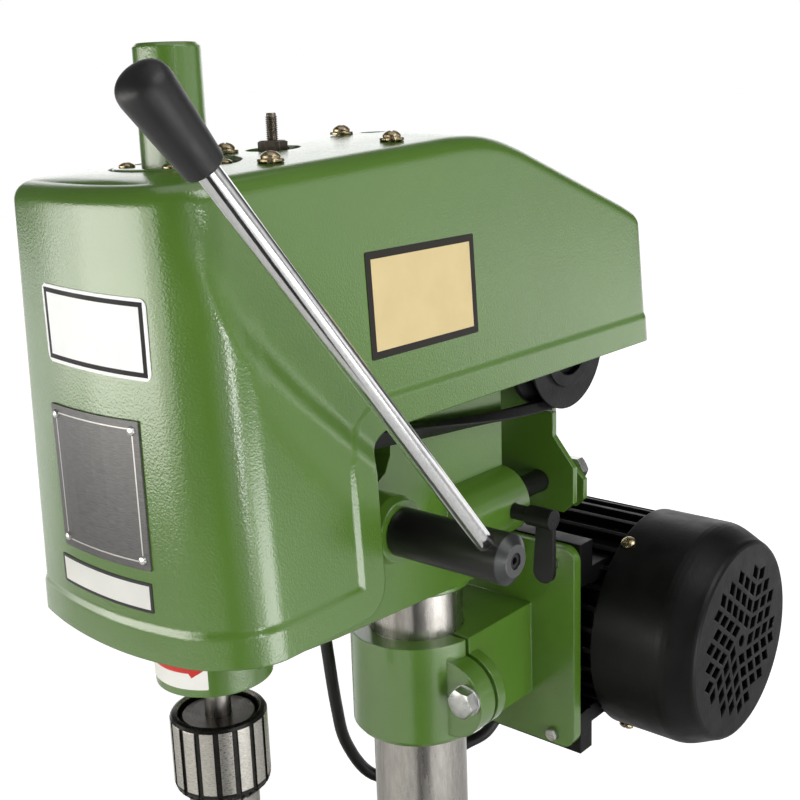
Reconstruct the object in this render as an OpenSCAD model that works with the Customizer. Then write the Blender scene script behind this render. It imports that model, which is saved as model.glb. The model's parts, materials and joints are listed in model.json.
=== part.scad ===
// Bench tapping machine: belt-driven spindle, clutch cone, column head and a motor clamped on the column.
// Millimetres, +Z up, -Y towards the operator, +X on the lever side, origin on the bench under the column.

/* [Base and column] */
// width of the base
base_w = 200; // [180:1:260]
// length of the base from front to back
base_len = 310; // [300:1:380]
// height of the base without the table
base_h = 50; // [40:1:70]
// diameter of the column
col_d = 50; // [46:1:54]
// height of the head's datum plane over the bench
head_z = 290; // [250:1:360]
// distance from the column axis to the spindle axis
throat = 138; // [134:1:142]

/* [Head casting] */
// half width of the casting's upper walls
wall_x = 29.5; // [28.5:0.1:30.5]
// outer diameter of the nose
nose_d = 51.6; // [50:0.2:54]
// diameter of the quill
quill_d = 40; // [38:0.5:42]
// height of the lever axis over the datum
lever_z = 158; // [156:0.5:160]
// distance of the lever axis in front of the column
lever_y = 66.5; // [65:0.5:68]
// diameter of the guide bars
bar_d = 12; // [10:0.5:13]
// half distance of the guide bars
bar_x = 28.6; // [28:0.1:29.5]

/* [Hood] */
// half width of the hood at the rear rim
hood_w = 57.6; // [56:0.1:59]
// how far the front of the hood lies before the column
hood_front = 189; // [186:1:193]
// how far the back of the hood lies behind the column
hood_back = 144.5; // [141:0.5:148]
// wall of the hood
hood_t = 4; // [3:0.5:5]
// height of the raised band along the open edge
band_h = 1.2; // [0.6:0.1:1.5]
// diameter of the post over the spindle
post_d = 26.8; // [25:0.2:28]
// height of the post's top over the datum
post_top = 371; // [365:1:380]

/* [Lever] */
// diameter of the lever hub
hub_d = 22.4; // [21:0.2:24]
// outer end of the lever hub
hub_end = 112.6; // [111:0.1:115]
// diameter of the lever rod
rod_d = 8.4; // [7:0.2:9]
// length from the lever axis to the end of the grip
lever_len = 261; // [250:1:280]
// angle of the lever over the horizontal
lever_tilt = 50.1; // [46:0.2:54]

/* [Chuck] */
// outer diameter of the chuck sleeve
chuck_d = 43.4; // [41:0.2:44]
// diameter of the spindle
spindle_d = 11.8; // [11.2:0.1:11.9]

/* [Drive] */
// pitch radius of the spindle pulley
sp_r = 35; // [34:0.5:36]
// pitch radius of the countershaft pulley
cp_r = 31; // [30:0.5:32]
// pitch radius of the middle step on the step pulleys
step_r = 36; // [34:0.5:37]
// distance of the countershaft behind the column
shaft_y = 82.5; // [81:0.5:84]
// height of the countershaft over the datum
shaft_z = 215.5; // [214.5:0.5:217]

/* [Motor] */
// radius of the fan cover
fan_r = 62; // [60:0.5:64]
// height of the motor feet's seat from its axis
foot_h = 63; // [62:0.5:65]
// outer radius of the motor clamp ring
ring_r = 35.4; // [34.6:0.2:37]
// front face of the motor plate behind the column
plate_y = 55; // [53:0.5:57]
// diameter of the cable
cable_d = 7; // [6:0.5:8]

/* [Hidden] */
$fn = 64;
col_r = col_d / 2;
run = 0.05;
green = [0.36, 0.5, 0.22];
black = [0.08, 0.08, 0.08];
steel = [0.7, 0.7, 0.68];
zinc = [0.8, 0.8, 0.8];

// heights over the datum
z_base = -head_z;
col_top = 165;
table_rise = 8;
table_w = 170;
table_d = 150;
base_front = -base_len + 75;
socket_r = col_r + 17;
socket_h = 95;

// Spindle line.
nose_z = 104;
quill_top = 182;
pulley_z = 203;
arm_top = 306;
sleeve_r = 13;
spin_r = spindle_d / 2;
chuck_top = 86.2;
chuck_r = chuck_d / 2;
body_r = chuck_r - 3.7;
body_lo = body_r - 2.2;
teeth_z = 51.5;
jaw_tilt = 15;
jaw_r = 3;
jaw_len = 28;

// Lever and fork arm.
fork_r = 53 + (throat - 138) - (lever_y - 66.5);
fork_rest = 16;
ball_r = 5;
rod_x = 101.4;
hub_start = 51.1;

// Guide bars.
bar_z = 140.4;
boss_r = 18.3;
head_back = 38.5;
bar_front = 15;

// Countershaft.
plate_f = shaft_y - 8.5;
plate_gap = 12.5;
plate_t = 3.5;
shaft_r = 7.5;
cp_x = 35;
step_x = -90;
step_w = 12;
step_d = 8;

// Motor.
motor_y = plate_y + 6.5 + foot_h;
motor_z = 53;
frame_r = 54;
fin_r = fan_r - 2.4;

module lift() translate([0, 0, head_z]) children();

module xcyl(r, x0, x1, y, z) translate([x0, y, z]) rotate([0, 90, 0]) cylinder(r = r, h = x1 - x0);

module ycyl(r, y0, y1, x, z) translate([x, y0, z]) rotate([-90, 0, 0]) cylinder(r = r, h = y1 - y0);

module zcyl(r, z0, z1, x = 0, y = 0) translate([x, y, z0]) cylinder(r = r, h = z1 - z0);

module box(a, b) translate(a) cube(b - a);

module round_rect(x0, x1, y0, y1, r) {
    translate([x0 + r, y0]) square([x1 - x0 - 2 * r, y1 - y0]);
    translate([x0, y0 + r]) square([x1 - x0, y1 - y0 - 2 * r]);
    for (x = [x0 + r, x1 - r], y = [y0 + r, y1 - r]) translate([x, y]) circle(r = r);
}

// a plate in the X-Z plane from outline points
module xz_plate(y0, y1) translate([0, y1, 0]) rotate([90, 0, 0]) linear_extrude(y1 - y0) children();

// an outline in the Y-Z plane run along X
module yz_plate(x0, x1) translate([x0, 0, 0]) rotate([90, 0, 90]) linear_extrude(x1 - x0) children();

module hex_y(r, y0, y1, x, z) translate([x, y0, z]) rotate([-90, 30, 0]) cylinder(r = r, h = y1 - y0,
    $fn = 6);

// Base, column and their bolts.
module base() color(green) difference() {
    union() {
        linear_extrude(base_h) round_rect(-base_w / 2, base_w / 2, base_front, base_front + base_len, 20);
        translate([0, 0, base_h - 1])
            linear_extrude(table_rise + 1)
            round_rect(-table_w / 2, table_w / 2, -throat - table_d / 2, -throat + table_d / 2, 6);
        zcyl(socket_r, 0, socket_h);
    }
    difference() {
        translate([0, 0, -1])
            linear_extrude(base_h - 17)
            round_rect(-base_w / 2 + 12, base_w / 2 - 12, base_front + 12, base_front + base_len - 12, 10);
        zcyl(socket_r + 4, -2, base_h);
        for (x = [-1, 1] * (base_w / 2 - 24), y = [base_front + 24, base_front + base_len - 24])
            zcyl(13, -2, base_h, x, y);
        box([-base_w / 2, -throat - 5, -2], [base_w / 2, -throat + 5, base_h]);
    }
    zcyl(col_r + run, 10, socket_h + 1);
    for (y = [-1, 1] * 42) {
        box([-base_w, -throat + y - 6, base_h + table_rise - 10], [base_w, -throat + y + 6,
            base_h + table_rise + 1]);
        box([-base_w, -throat + y - 10, base_h + table_rise - 18], [base_w, -throat + y + 10, base_h - 2]);
    }
    for (x = [-1, 1] * (base_w / 2 - 24), y = [base_front + 24, base_front + base_len - 24])
        zcyl(5.5, -1, base_h + 1, x, y);
    for (z = [66, 82]) ycyl(5.1, col_r - 5, socket_r + 5, 0, z);
}

module base_bolts() color(zinc) for (z = [66, 82]) {
    ycyl(5, col_r + 0.3, socket_r + 4, 0, z);
    hex_y(9.2, socket_r + 3, socket_r + 10, 0, z);
}

module column() color(steel) difference() {
    zcyl(col_r, 10, head_z + col_top);
    zcyl(col_r - 7, 9, head_z + col_top + 1);
}

// Head casting with its nose, arm, bosses and upper frame.
module head_casting() color(green) lift() difference() {
    union() {
        zcyl(wall_x, 102, 168);
        yz_plate(-wall_x, wall_x) polygon([[head_back, 104], [head_back, 203], [-48, 203], [-49, 186],
            [-53, 178],
            [-66, 170], [-throat, 170], [-throat, 113], [-89, 109], [-26, 106], [0, 104]]);
        zcyl(nose_d / 2, nose_z, 172, 0, -throat);
        xcyl(16, -40, hub_start - 5, -lever_y, lever_z);
        translate([hub_start - 5, -lever_y, lever_z]) rotate([0, 90, 0])
            cylinder(r1 = 16, r2 = 14.4, h = 4.4);
        for (s = [-1, 1]) ycyl(boss_r, -8, head_back, s * bar_x, bar_z);
        for (s = [-1, 1]) box([s * (wall_x - 3.5) - 3.5, -47, 200], [s * (wall_x - 3.5) + 3.5, 8,
            arm_top - 4]);
        translate([0, 0, arm_top - 10]) linear_extrude(10) round_rect(-44, 44, -throat - 34, 8, 12);
        box([-38, -46, 124], [-20, -12, 166]);
    }
    zcyl(col_r + run, 100, 225);
    zcyl(quill_d / 2 + run, nose_z - 1, 173, 0, -throat);
    box([-7.5, -throat, lever_z - 33], [7.5, -lever_y + 16, 210]);
    yz_plate(-14, 14) polygon([[-lever_y + 34, 150], [-lever_y + 34, 210], [head_back + 1, 210],
        [head_back + 1, 175],
        [col_r, 175], [-lever_y + 36, 175]]);
    xcyl(8 + run, -41, hub_start + 1, -lever_y, lever_z);
    for (s = [-1, 1]) ycyl(bar_d / 2 + run, bar_front - 2, head_back + 1, s * bar_x, bar_z);
    xcyl(4.1, bar_x, bar_x + 30, 25, bar_z);
    zcyl(sleeve_r, arm_top - 12, arm_top + 1, 0, -throat);
    for (x = [-1, 1] * 8) ycyl(4.1, col_r - 6, head_back + 2, x, 118);
}

module head_bolts() color(zinc) lift() for (x = [-1, 1] * 8) {
    ycyl(4, col_r + 1.5, head_back + 1, x, 118);
    hex_y(7.5, head_back, head_back + 5.5, x, 118);
}

// Hood: a moulded shell made from plan outlines that follow its rim and its top.
rim_lo = 134.5;
rim_hi = 210.5;
rim_y = -95;
draft = 0.048;
// front corner radius, bow of the front and extra flare on each side
right_side = [32, 0.00367, 0];
left_side = [12, 0.0025, 0.02];
hood_rr = 11;
edge_r = 8;
function hood_half(z) = hood_w + (rim_hi - z) * draft;
function hood_bottom(y) = y <= rim_y - 14 ? rim_lo
    : y <= rim_y ? rim_lo + 14 - sqrt(max(0, 196 - pow(y - rim_y + 14, 2)))
    : y <= rim_y + 14 ? rim_hi - 14 + sqrt(max(0, 196 - pow(y - rim_y - 14, 2)))
    : rim_hi;
function hood_top(y) = min(330.3 + 0.055 * y, 333 - 0.38 * y) - 2.2 * max(0, 1 - abs(y - 6) / 20);
function band_dist(y, z) = y > rim_y ? z - rim_hi
    : z < rim_hi ? min(z - rim_lo, rim_y - y)
    : min(z - rim_lo, norm([y - rim_y, z - rim_hi]));
function band(y, z) = band_h * max(0, min(1, (15 - band_dist(y, z)) / 1.8));
// stations along the right half: [kind, value]
hood_st = concat(
    [for (i = [0 : 4]) [0, i / 4]],
    [for (i = [1 : 7]) [1, i / 7]],
    [for (y = [-140, -122, -110.1, -109, -108.2, -103, -98, rim_y - 0.05]) [2, y]],
    [for (y = [rim_y + 0.05, -91, -86, -80, -55, -28, -14, -4, 6, 16, 26, 50, 78, 105]) [2, y]],
    [for (i = [0 : 4]) [3, i / 4]],
    [[4, 0]]);
hood_n = len(hood_st);
function back_y(z) = hood_back - (z - rim_hi) * 0.065;
// plan point of station s at height z, inset by t, on side q: [x, y, nx, ny]
function plan(s, z, t, q) =
    let (w = hood_half(z) + q[2] * (320 - z) - t, rc = q[0] - t, rr = hood_rr - t, bow_k = q[1],
        yf = -hood_front + t, yb = back_y(z) - t,
        wf0 = w - rc * 0.75, a0 = -90 + atan(2 * bow_k * wf0), wf = w - rc * (1 - cos(a0)))
    s[0] == 0 ? let (x = wf * s[1], m = 2 * bow_k * x) [x, yf + bow_k * x * x, m / norm([m, 1]),
        -1 / norm([m, 1])]
    : s[0] == 1 ? let (a = a0 * (1 - s[1]), cx = w - rc, cy = yf + bow_k * wf * wf - rc * sin(a0))
        [cx + rc * cos(a), cy + rc * sin(a), cos(a), sin(a)]
    : s[0] == 2 ? [w, s[1], 1, 0]
    : s[0] == 3 ? let (a = 90 * s[1]) [w - rr + rr * cos(a), yb - rr + rr * sin(a), cos(a), sin(a)]
    : [0, yb, 0, 1];
hood_rows = 11;
// wall point of station s on row j, t inset of the skin
function hood_pt(s, j, t, q) =
    let (p0 = plan(s, 260, t, q), zb = hood_bottom(p0[1]), zt = hood_top(p0[1]) - t - edge_r,
        z = j < 3 ? zb + [0, 13.2, 15][j] : j < 7 ? zb + 15 + (zt - zb - 15) * (j - 2) / 4 : zt,
        p = plan(s, z, t, q), g = t > 0 ? 0 : band(p[1], z),
        f = j < 7 ? 0 : (j - 6) * 22.5, c = edge_r * (1 - cos(f)))
    [p[0] + p[2] * (g - c), p[1] + p[3] * (g - c), j < 7 ? z : zt + edge_r * sin(f)];
function flip(p) = [-p[0], p[1], p[2]];
hood_m = 2 * hood_n - 2;
function loop(j, t) = concat([for (i = [0 : hood_n - 1]) hood_pt(hood_st[i], j, t, right_side)],
    [for (i = [hood_n - 2 : -1 : 1]) flip(hood_pt(hood_st[i], j, t, left_side))]);
function skin(t) = [for (j = [0 : hood_rows - 1]) each loop(j, t)];
function crown(t) = [for (i = [1 : hood_n - 2])
    let (p = hood_pt(hood_st[i], hood_rows - 1, t, right_side)) [0, p[1], p[2] + 2 * min(1, p[0] / 40)]];
hood_v = concat(skin(0), crown(0), skin(hood_t), crown(hood_t));
hood_s = hood_m * hood_rows + hood_n - 2;
function wall_faces(o, up) = [for (j = [0 : hood_rows - 2], i = [0 : hood_m - 1])
    let (a = o + j * hood_m + i, b = o + j * hood_m + (i + 1) % hood_m)
    each up ? [[a, a + hood_m, b + hood_m], [a, b + hood_m, b]]
        : [[a, b + hood_m, a + hood_m], [a, b, b + hood_m]]];
function cap_pt(o, i) = i == 0 || i == hood_n - 1 ? o + (hood_rows - 1) * hood_m + i
    : o + hood_rows * hood_m + i - 1;
function cap_faces(o, up) = [for (i = [0 : hood_n - 2])
    let (e = o + (hood_rows - 1) * hood_m, r0 = e + i, r1 = e + i + 1, c0 = cap_pt(o, i), c1 = cap_pt(o,
        i + 1),
        l0 = e + (hood_m - i) % hood_m, l1 = e + hood_m - i - 1)
    each [for (f = [[r0, c0, c1], [r0, c1, r1], [c0, l0, l1], [c0, l1, c1]])
        if (f[0] != f[1] && f[1] != f[2] && f[0] != f[2]) up ? f : [f[0], f[2], f[1]]]];
rim_faces = [for (i = [0 : hood_m - 1])
    let (a = i, b = (i + 1) % hood_m) each [[a, b, hood_s + b], [a, hood_s + b, hood_s + a]]];
hood_f = concat(wall_faces(0, true), cap_faces(0, true), wall_faces(hood_s, false), cap_faces(hood_s,
    false),
    rim_faces);
screw_at = [[36, -120], [-8, -104], [-10, -30], [34, -45]];
stud_at = [2, -86];

flange_top = arm_top + 15.5;
flange_r = 25;
function roof(p) = hood_top(p[1]) + 2 * max(0, 1 - abs(p[0]) / 44);

module hood() color(green) lift() difference() {
    polyhedron(points = hood_v, faces = hood_f);
    zcyl(flange_r + 1.6, 300, 350, 0, -throat);
    for (p = screw_at) zcyl(3, 300, 350, p[0], p[1]);
    zcyl(12, 300, 350, stud_at[0], stud_at[1]);
    zcyl(6, 300, 350, -2, -17);
    xcyl(14, -70, -50, shaft_y + 3, shaft_z + 2);
    box([-70, shaft_y - 11, rim_hi - 5], [-50, shaft_y + 17, shaft_z + 2]);
}

module hood_standoffs() color(zinc) lift() for (p = screw_at) difference() {
    zcyl(6, arm_top, roof(p) - hood_t - 0.6, p[0], p[1]);
    zcyl(2.6, arm_top + 3, 340, p[0], p[1]);
}

module hood_screws() color([0.75, 0.68, 0.5]) lift() for (p = screw_at) {
    zcyl(2.5, arm_top + 4, roof(p) + 1.2, p[0], p[1]);
    zcyl(5.4, roof(p) + 0.6, roof(p) + 1.8, p[0], p[1]);
    translate([p[0], p[1], roof(p) + 1.7])
        rotate_extrude() polygon([[0, 0], [4, 0], [4, 1], [3.3, 2.3], [2, 3], [0, 3.2]]);
}

module hood_stud() color([0.3, 0.3, 0.3]) lift() {
    zcyl(2.6, arm_top, roof(stud_at) + 15, stud_at[0], stud_at[1]);
    translate([stud_at[0], stud_at[1], arm_top]) cylinder(r = 7, h = 5, $fn = 6);
    translate([stud_at[0], stud_at[1], roof(stud_at) - 1.5]) cylinder(r = 6.4, h = 5, $fn = 6);
    zcyl(9, roof(stud_at) - 3, roof(stud_at) - 1.4, stud_at[0], stud_at[1]);
}

function bow(x) = -hood_front + (x < 0 ? left_side : right_side)[1] * x * x;
function plate_at(i) = -28.5 + 6.85 * i;
module data_plate() color([0.4, 0.4, 0.4]) lift() translate([0, 0, 173]) linear_extrude(60)
    polygon(concat([for (i = [0 : 8]) [plate_at(i), bow(plate_at(i)) - 0.1]],
        [for (i = [8 : -1 : 0]) [plate_at(i), bow(plate_at(i)) - 0.9]]));

module plate_rivets() color(zinc) lift() for (i = [0, 7], z = [177, 229])
    let (x = plate_at(i), e = plate_at(i + 1))
    translate([(x + e) / 2, (bow(x) + bow(e)) / 2 - 0.9, z])
    rotate([90, 0, atan((bow(e) - bow(x)) / (e - x))])
    rotate_extrude() polygon([[0, 0], [1.9, 0], [1.5, 0.8], [0, 1.2]]);

module post() color(green) lift() translate([0, -throat, 0]) rotate_extrude() polygon([[8, arm_top],
    [flange_r, arm_top], [flange_r, flange_top], [post_d / 2, flange_top], [post_d / 2, post_top - 1.5],
    [post_d / 2 - 1.5, post_top], [4.5, post_top], [4.5, post_top - 6], [8, post_top - 6]]);

module post_screws() color(zinc) lift() for (a = [45 : 90 : 315]) translate([0, -throat, 0])
    rotate([0, 0, a]) zcyl(3.3, flange_top, flange_top + 2.4, 19.2, 0);

module pulley_sleeve() color(steel) lift() translate([0, -throat, 0]) rotate_extrude()
    polygon([[8, 192], [sleeve_r - 0.5, 192], [sleeve_r - 0.5, arm_top - 10], [sleeve_r, arm_top - 10],
        [sleeve_r, arm_top], [8, arm_top]]);

// Motor bracket: split ring, flange and plate in one casting.
pinch_x = ring_r + 9.6;
pinch_z = 51.5;
module lug_shape() translate([ring_r - 2.4, 48]) circle(r = 20.5);

module motor_bracket() color(green) lift() difference() {
    union() {
        zcyl(ring_r, 24.5, 77);
        translate([0, 0, 22]) cylinder(r1 = ring_r - 2, r2 = ring_r, h = 2.51);
        box([-ring_r, 0, 24], [ring_r, plate_y + 1, 77]);
        xz_plate(-15, 6) lug_shape();
        xz_plate(plate_y, plate_y + 6.5) round_rect(-63, 63, -3, 113, 8);
    }
    zcyl(col_r + run, 20, 80);
    box([10, -3.2, 20], [70, -0.7, 80]);
    ycyl(5.1, -20, 20, pinch_x, pinch_z);
    for (x = [49.5, -30.5], z = [-1, 1]) ycyl(3.6, plate_y - 2, plate_y + 9, x, motor_z + z * 50);
}

module clamp_bolt() color(zinc) lift() {
    ycyl(5, -16, 5.4, pinch_x, pinch_z);
    ycyl(8.2, -16.6, -15, pinch_x, pinch_z);
    hex_y(7.9, -22.4, -16.6, pinch_x, pinch_z);
}

// Motor.
fin_n = 32;
fin_pts = [for (i = [0 : fin_n - 1]) let (a = i * 360 / fin_n, h = 1.35)
    each [for (q = [[frame_r, -h], [fin_r, -h], [fin_r, h], [frame_r, h]])
        [q[0] * cos(a) - q[1] * sin(a), q[0] * sin(a) + q[1] * cos(a)]]];

// the cable gland points down and forward from the motor
gland_a = -125;
module at_gland() translate([-4, motor_y, motor_z]) rotate([gland_a - 90, 0, 0]) children();

module motor_frame() color(black) lift() difference() {
    union() {
        translate([-56, motor_y, motor_z]) rotate([90, 0, 90]) linear_extrude(124) polygon(fin_pts);
        for (s = [-1, 1]) box([-43, plate_y + 6.5, motor_z + s * 49 - 12], [63, plate_y + 18,
            motor_z + s * 49 + 12]);
        for (s = [-1, 1]) box([-43, plate_y + 17, motor_z + s * 41 - 5], [63, motor_y - 20,
            motor_z + s * 41 + 5]);
        at_gland() zcyl(11, 40, fin_r + 2.4);
    }
    xcyl(30.5, -57, 61, motor_y, motor_z);
    xcyl(7 + run, 60, 70, motor_y, motor_z);
    for (x = [49.5, -30.5], z = [-1, 1]) ycyl(3.6, plate_y - 2, plate_y + 25, x, motor_z + z * 50);
    for (x = [49.5, -30.5], z = [-1, 1])
        box([x - 8, plate_y + 14.5, motor_z + z * 51 - 8], [x + 8, plate_y + 26, motor_z + z * 51 + 8]);
}

module motor_shield() color(black) lift() translate([-56, motor_y, motor_z]) rotate([0, -90, 0])
    rotate_extrude() polygon([[7 + run, 0], [58, 0], [58, 6], [50, 11], [22, 12], [20, 14.6], [7 + run,
        14.6]]);

module motor_bolts() color(zinc) lift() for (x = [49.5, -30.5], z = [-1, 1]) {
    ycyl(3.5, plate_y - 3, plate_y + 15, x, motor_z + z * 50);
    hex_y(5.8, plate_y + 14.5, plate_y + 19, x, motor_z + z * 50);
}

cover_at = [0, 119, 241];
gr_p = 9.1;
gr_h = 3.2;
gr_o = 6.9;
// five fields of rhombic holes, set round the middle like a pinwheel
grille = [for (k = [0 : 4], i = [0 : 3], j = [0 : [4, 3, 2, 0][i]])
    let (a = k * 72 - 1.5, u = [cos(a), sin(a)], v = [cos(a + 72), sin(a + 72)])
    [u * ((i + 0.5) * gr_p + gr_o) + v * ((j + 0.5) * gr_p - gr_o), u, v]];

module fan_cover() color(black) lift() translate([0, motor_y, motor_z]) rotate([90, 0, 90]) difference() {
    rotate_extrude() polygon([[fan_r, 68.5], [fan_r, 106], [fan_r - 0.4, 108.6], [fan_r - 1.3, 111.4],
        [fan_r - 2.6, 114.4], [fan_r - 5.8, 121.2], [fan_r - 6.7, 123.4], [fan_r - 7.7, 124.8],
        [fan_r - 9.1, 125.6], [0, 125.6], [0, 123.4], [fan_r - 9.3, 123.4], [fan_r - 2.8, 109.4],
        [fan_r - 2, 106], [fan_r - 2, 68.5]]);
    for (g = grille) translate([0, 0, 120]) linear_extrude(9)
        polygon([for (q = [[-1, -1], [1, -1], [1, 1], [-1, 1]])
            g[0] + g[1] * q[0] * gr_h + g[2] * q[1] * gr_h]);
    translate([0, 0, 120]) cylinder(r = 3.2, h = 9);
    for (a = cover_at) rotate([0, 0, a]) translate([fan_r - 4, 0, 72.5]) rotate([0, 90, 0])
        cylinder(r = 2.1, h = 8);
}

module cover_screws() color([0.75, 0.62, 0.35]) lift() translate([0, motor_y, motor_z]) rotate([90, 0, 90])
    for (a = cover_at) rotate([0, 0, a]) translate([fin_r - 3, 0, 72.5]) rotate([0, 90, 0]) {
        cylinder(r = 2, h = fan_r - fin_r + 4);
        translate([0, 0, fan_r - fin_r + 3.3]) cylinder(r = 4, h = 2.4);
    }

module motor_gland() color(black) lift() at_gland() {
    translate([0, 0, fin_r + 2.4]) cylinder(r = 8.5, h = 7, $fn = 6);
    zcyl(6.5, fin_r + 9, fin_r + 16.4);
}

module motor_shaft() color(steel) lift() {
    xcyl(7, -112, 106, motor_y, motor_z);
    xcyl(30, -50, 58, motor_y, motor_z);
}

module motor_fan() color([0.2, 0.2, 0.2]) lift() translate([78, motor_y, motor_z]) rotate([90, 0, 90])
    difference() {
    union() {
        cylinder(r = 14, h = 24);
        cylinder(r = 50, h = 2.5);
        for (a = [0 : 45 : 315]) rotate([0, 0, a]) translate([10, -1, 0]) cube([40, 2, 22]);
    }
    translate([0, 0, -1]) cylinder(r = 7, h = 30);
}

// a three-step pulley along X: radii from the inner to the outer step
module steps(radii, bore) difference() {
    rotate_extrude() polygon(concat([[bore, 0]], [for (i = [0 : 2]) let (x = i * step_w, r = radii[i])
        each [[r + 3, x], [r + 3, x + 1], [r - 5, x + 3.4], [r - 5, x + step_w - 3.4], [r + 3,
            x + step_w - 1],
            [r + 3, x + step_w]]], [[bore, 3 * step_w]]));
}

module motor_pulley() color(black) lift() translate([step_x + 1.5 * step_w, motor_y, motor_z]) rotate([0,
    -90, 0])
    steps([step_r - step_d, step_r, step_r + step_d], 7);

module step_pulley() color(black) lift() translate([step_x + 1.5 * step_w, shaft_y, shaft_z]) rotate([0,
    -90, 0])
    steps([step_r + step_d, step_r, step_r - step_d], shaft_r);

// Countershaft and its bracket.
module guide_bars() color(black) lift() for (s = [-1, 1])
    ycyl(bar_d / 2, bar_front, plate_f + plate_gap + plate_t - 0.3, s * bar_x, bar_z);

front_plate = [[44, 125], [50.5, 131], [50.5, 151], [37.5, 167]];
rear_plate = [[44, 125], [49, 130], [49, 141], [29, 160]];
module plate_shape(side, bolts) difference() {
    polygon(concat(side, [[side[3][0], shaft_z + 20], [-side[3][0], shaft_z + 20]],
        [for (i = [3 : -1 : 0]) [-side[i][0], side[i][1]]]));
    for (s = [-1, 1]) translate([s * bar_x, bar_z]) circle(r = bar_d / 2);
    if (bolts) for (s = [-1, 1]) translate([s * 39.2, 144]) circle(r = 4.1);
}

module shaft_bracket() color(green) lift() difference() {
    union() {
        xz_plate(plate_f, plate_f + plate_t) plate_shape(front_plate, false);
        xz_plate(plate_f + plate_gap, plate_f + plate_gap + plate_t) plate_shape(rear_plate, true);
        xcyl(17, -44, 22, shaft_y, shaft_z);
    }
    xcyl(13, -45, 23, shaft_y, shaft_z);
    box([-60, plate_f - 30, shaft_z], [-44.01, plate_f + 60, shaft_z + 60]);
    box([22.01, plate_f - 30, shaft_z - cp_r - 4.5], [60, plate_f + 60, shaft_z + 60]);
}

module bracket_bolts() color(zinc) lift() for (s = [-1, 1]) {
    ycyl(4, plate_f + plate_t, plate_f + plate_gap + plate_t + 1, s * 39.2, 144);
    hex_y(7.5, plate_f + plate_gap + plate_t, plate_f + plate_gap + plate_t + 6, s * 39.2, 144);
}

module shaft_bearings() color(steel) lift() for (x = [-44, 11]) difference() {
    xcyl(13, x, x + 11, shaft_y, shaft_z);
    xcyl(shaft_r + run, x - 1, x + 12, shaft_y, shaft_z);
}

module countershaft() color(steel) lift() {
    xcyl(shaft_r, -112, 40, shaft_y, shaft_z);
    xcyl(10, -32, 9, shaft_y, shaft_z);
}

module shaft_pulley() color(black) lift() translate([cp_x, shaft_y, shaft_z]) rotate([0, 90, 0])
    rotate_extrude()
    polygon([[shaft_r, -9], [cp_r + 2.8, -9], [cp_r + 2.8, -6], [cp_r - 6, -2.8], [cp_r - 6, 2.8],
        [cp_r + 2.8, 6],
        [cp_r + 2.8, 7], [22, 7], [22, 8.5], [15.5, 8.5], [15.5, 5], [shaft_r, 5]]);

// Quarter-turn belt: a closed sweep round both pulleys.
belt_w = 9;
belt_t = 5.4;
belt_na = 14;
belt_nr = 20;
bp = [0, -throat, pulley_z];
bc = [cp_x, shaft_y, shaft_z];
function ease(f) = f * f * (3 - 2 * f);
function between(a, b, f) = [a[0] + (b[0] - a[0]) * ease(f), a[1] + (b[1] - a[1]) * f,
    a[2] + (b[2] - a[2]) * ease(f)];
// ring frames: [point, outward, across]
belt_rings = concat(
    [for (i = [0 : belt_na]) let (a = -90 + 180 * i / belt_na, n = [0, cos(a), sin(a)])
        [bc + n * cp_r, n, [1, 0, 0]]],
    [for (i = [1 : belt_nr - 1]) let (f = i / belt_nr, g = 90 * ease(f), a = bc + [0, 0, cp_r],
        b = bp - [sp_r, 0, 0])
        [between(a, b, f), [-sin(g), 0, cos(g)], [cos(g), 0, sin(g)]]],
    [for (i = [0 : belt_na]) let (a = 180 + 180 * i / belt_na, n = [cos(a), sin(a), 0])
        [bp + n * sp_r, n, [0, 0, 1]]],
    [for (i = [1 : belt_nr - 1]) let (f = i / belt_nr, g = 90 * ease(f), a = bp + [sp_r, 0, 0],
        b = bc - [0, 0, cp_r])
        [between(a, b, f), [cos(g), 0, -sin(g)], [sin(g), 0, cos(g)]]]);
belt_n = len(belt_rings);
belt_v = [for (r = belt_rings) each [for (q = [[2, -0.5], [2, 0.5], [2 - belt_t, 0.28], [2 - belt_t,
    -0.28]])
    r[0] + r[1] * q[0] + r[2] * q[1] * belt_w]];
belt_f = [for (i = [0 : belt_n - 1], k = [0 : 3])
    let (a = 4 * i + k, b = 4 * i + (k + 1) % 4, j = (i + 1) % belt_n, c = 4 * j + k,
        d = 4 * j + (k + 1) % 4)
    each [[a, b, d], [a, d, c]]];

module twist_belt() color(black) lift() polyhedron(points = belt_v, faces = belt_f);

// Motor belt on the middle steps.
mb_v = [motor_y - shaft_y, motor_z - shaft_z];
mb_len = norm(mb_v);
module stadium(r) {
    circle(r = r);
    translate([mb_len, 0]) circle(r = r);
    translate([0, -r]) square([mb_len, 2 * r]);
}

module motor_belt() color(black) lift() translate([step_x - 2.8, shaft_y, shaft_z]) rotate([90, 0, 90])
    rotate([0, 0, atan2(mb_v[1], mb_v[0])]) linear_extrude(5.6) difference() {
        stadium(step_r + 2);
        stadium(step_r - 3);
    }

module clamp_lever() color(black) lift() {
    xcyl(4, bar_x + bar_d / 2 + 0.3, 57, 25, bar_z);
    xcyl(5.2, 56, 70.6, 25, bar_z);
    xz_plate(23.6, 26.4) {
        polygon([[61, bar_z], [70.8, bar_z], [70.8, bar_z - 28.4], [58.8, bar_z - 28.4]]);
        translate([64.8, bar_z - 28.4]) circle(r = 6);
    }
}

// Lever with its shaft and fork arm.
module lever_shaft() color(steel) lift() translate([0, -lever_y, lever_z]) {
    xcyl(8, -42, hub_start + 0.4, 0, 0);
    xcyl(13, -5.5, 5.5, 0, 0);
    rotate([-fork_rest, 0, 0]) {
        box([-5, -fork_r, -4], [5, 0, 4]);
        xcyl(ball_r, -5, 5, -fork_r, 0);
    }
    xcyl(12, -46, -42, 0, 0);
}

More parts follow.
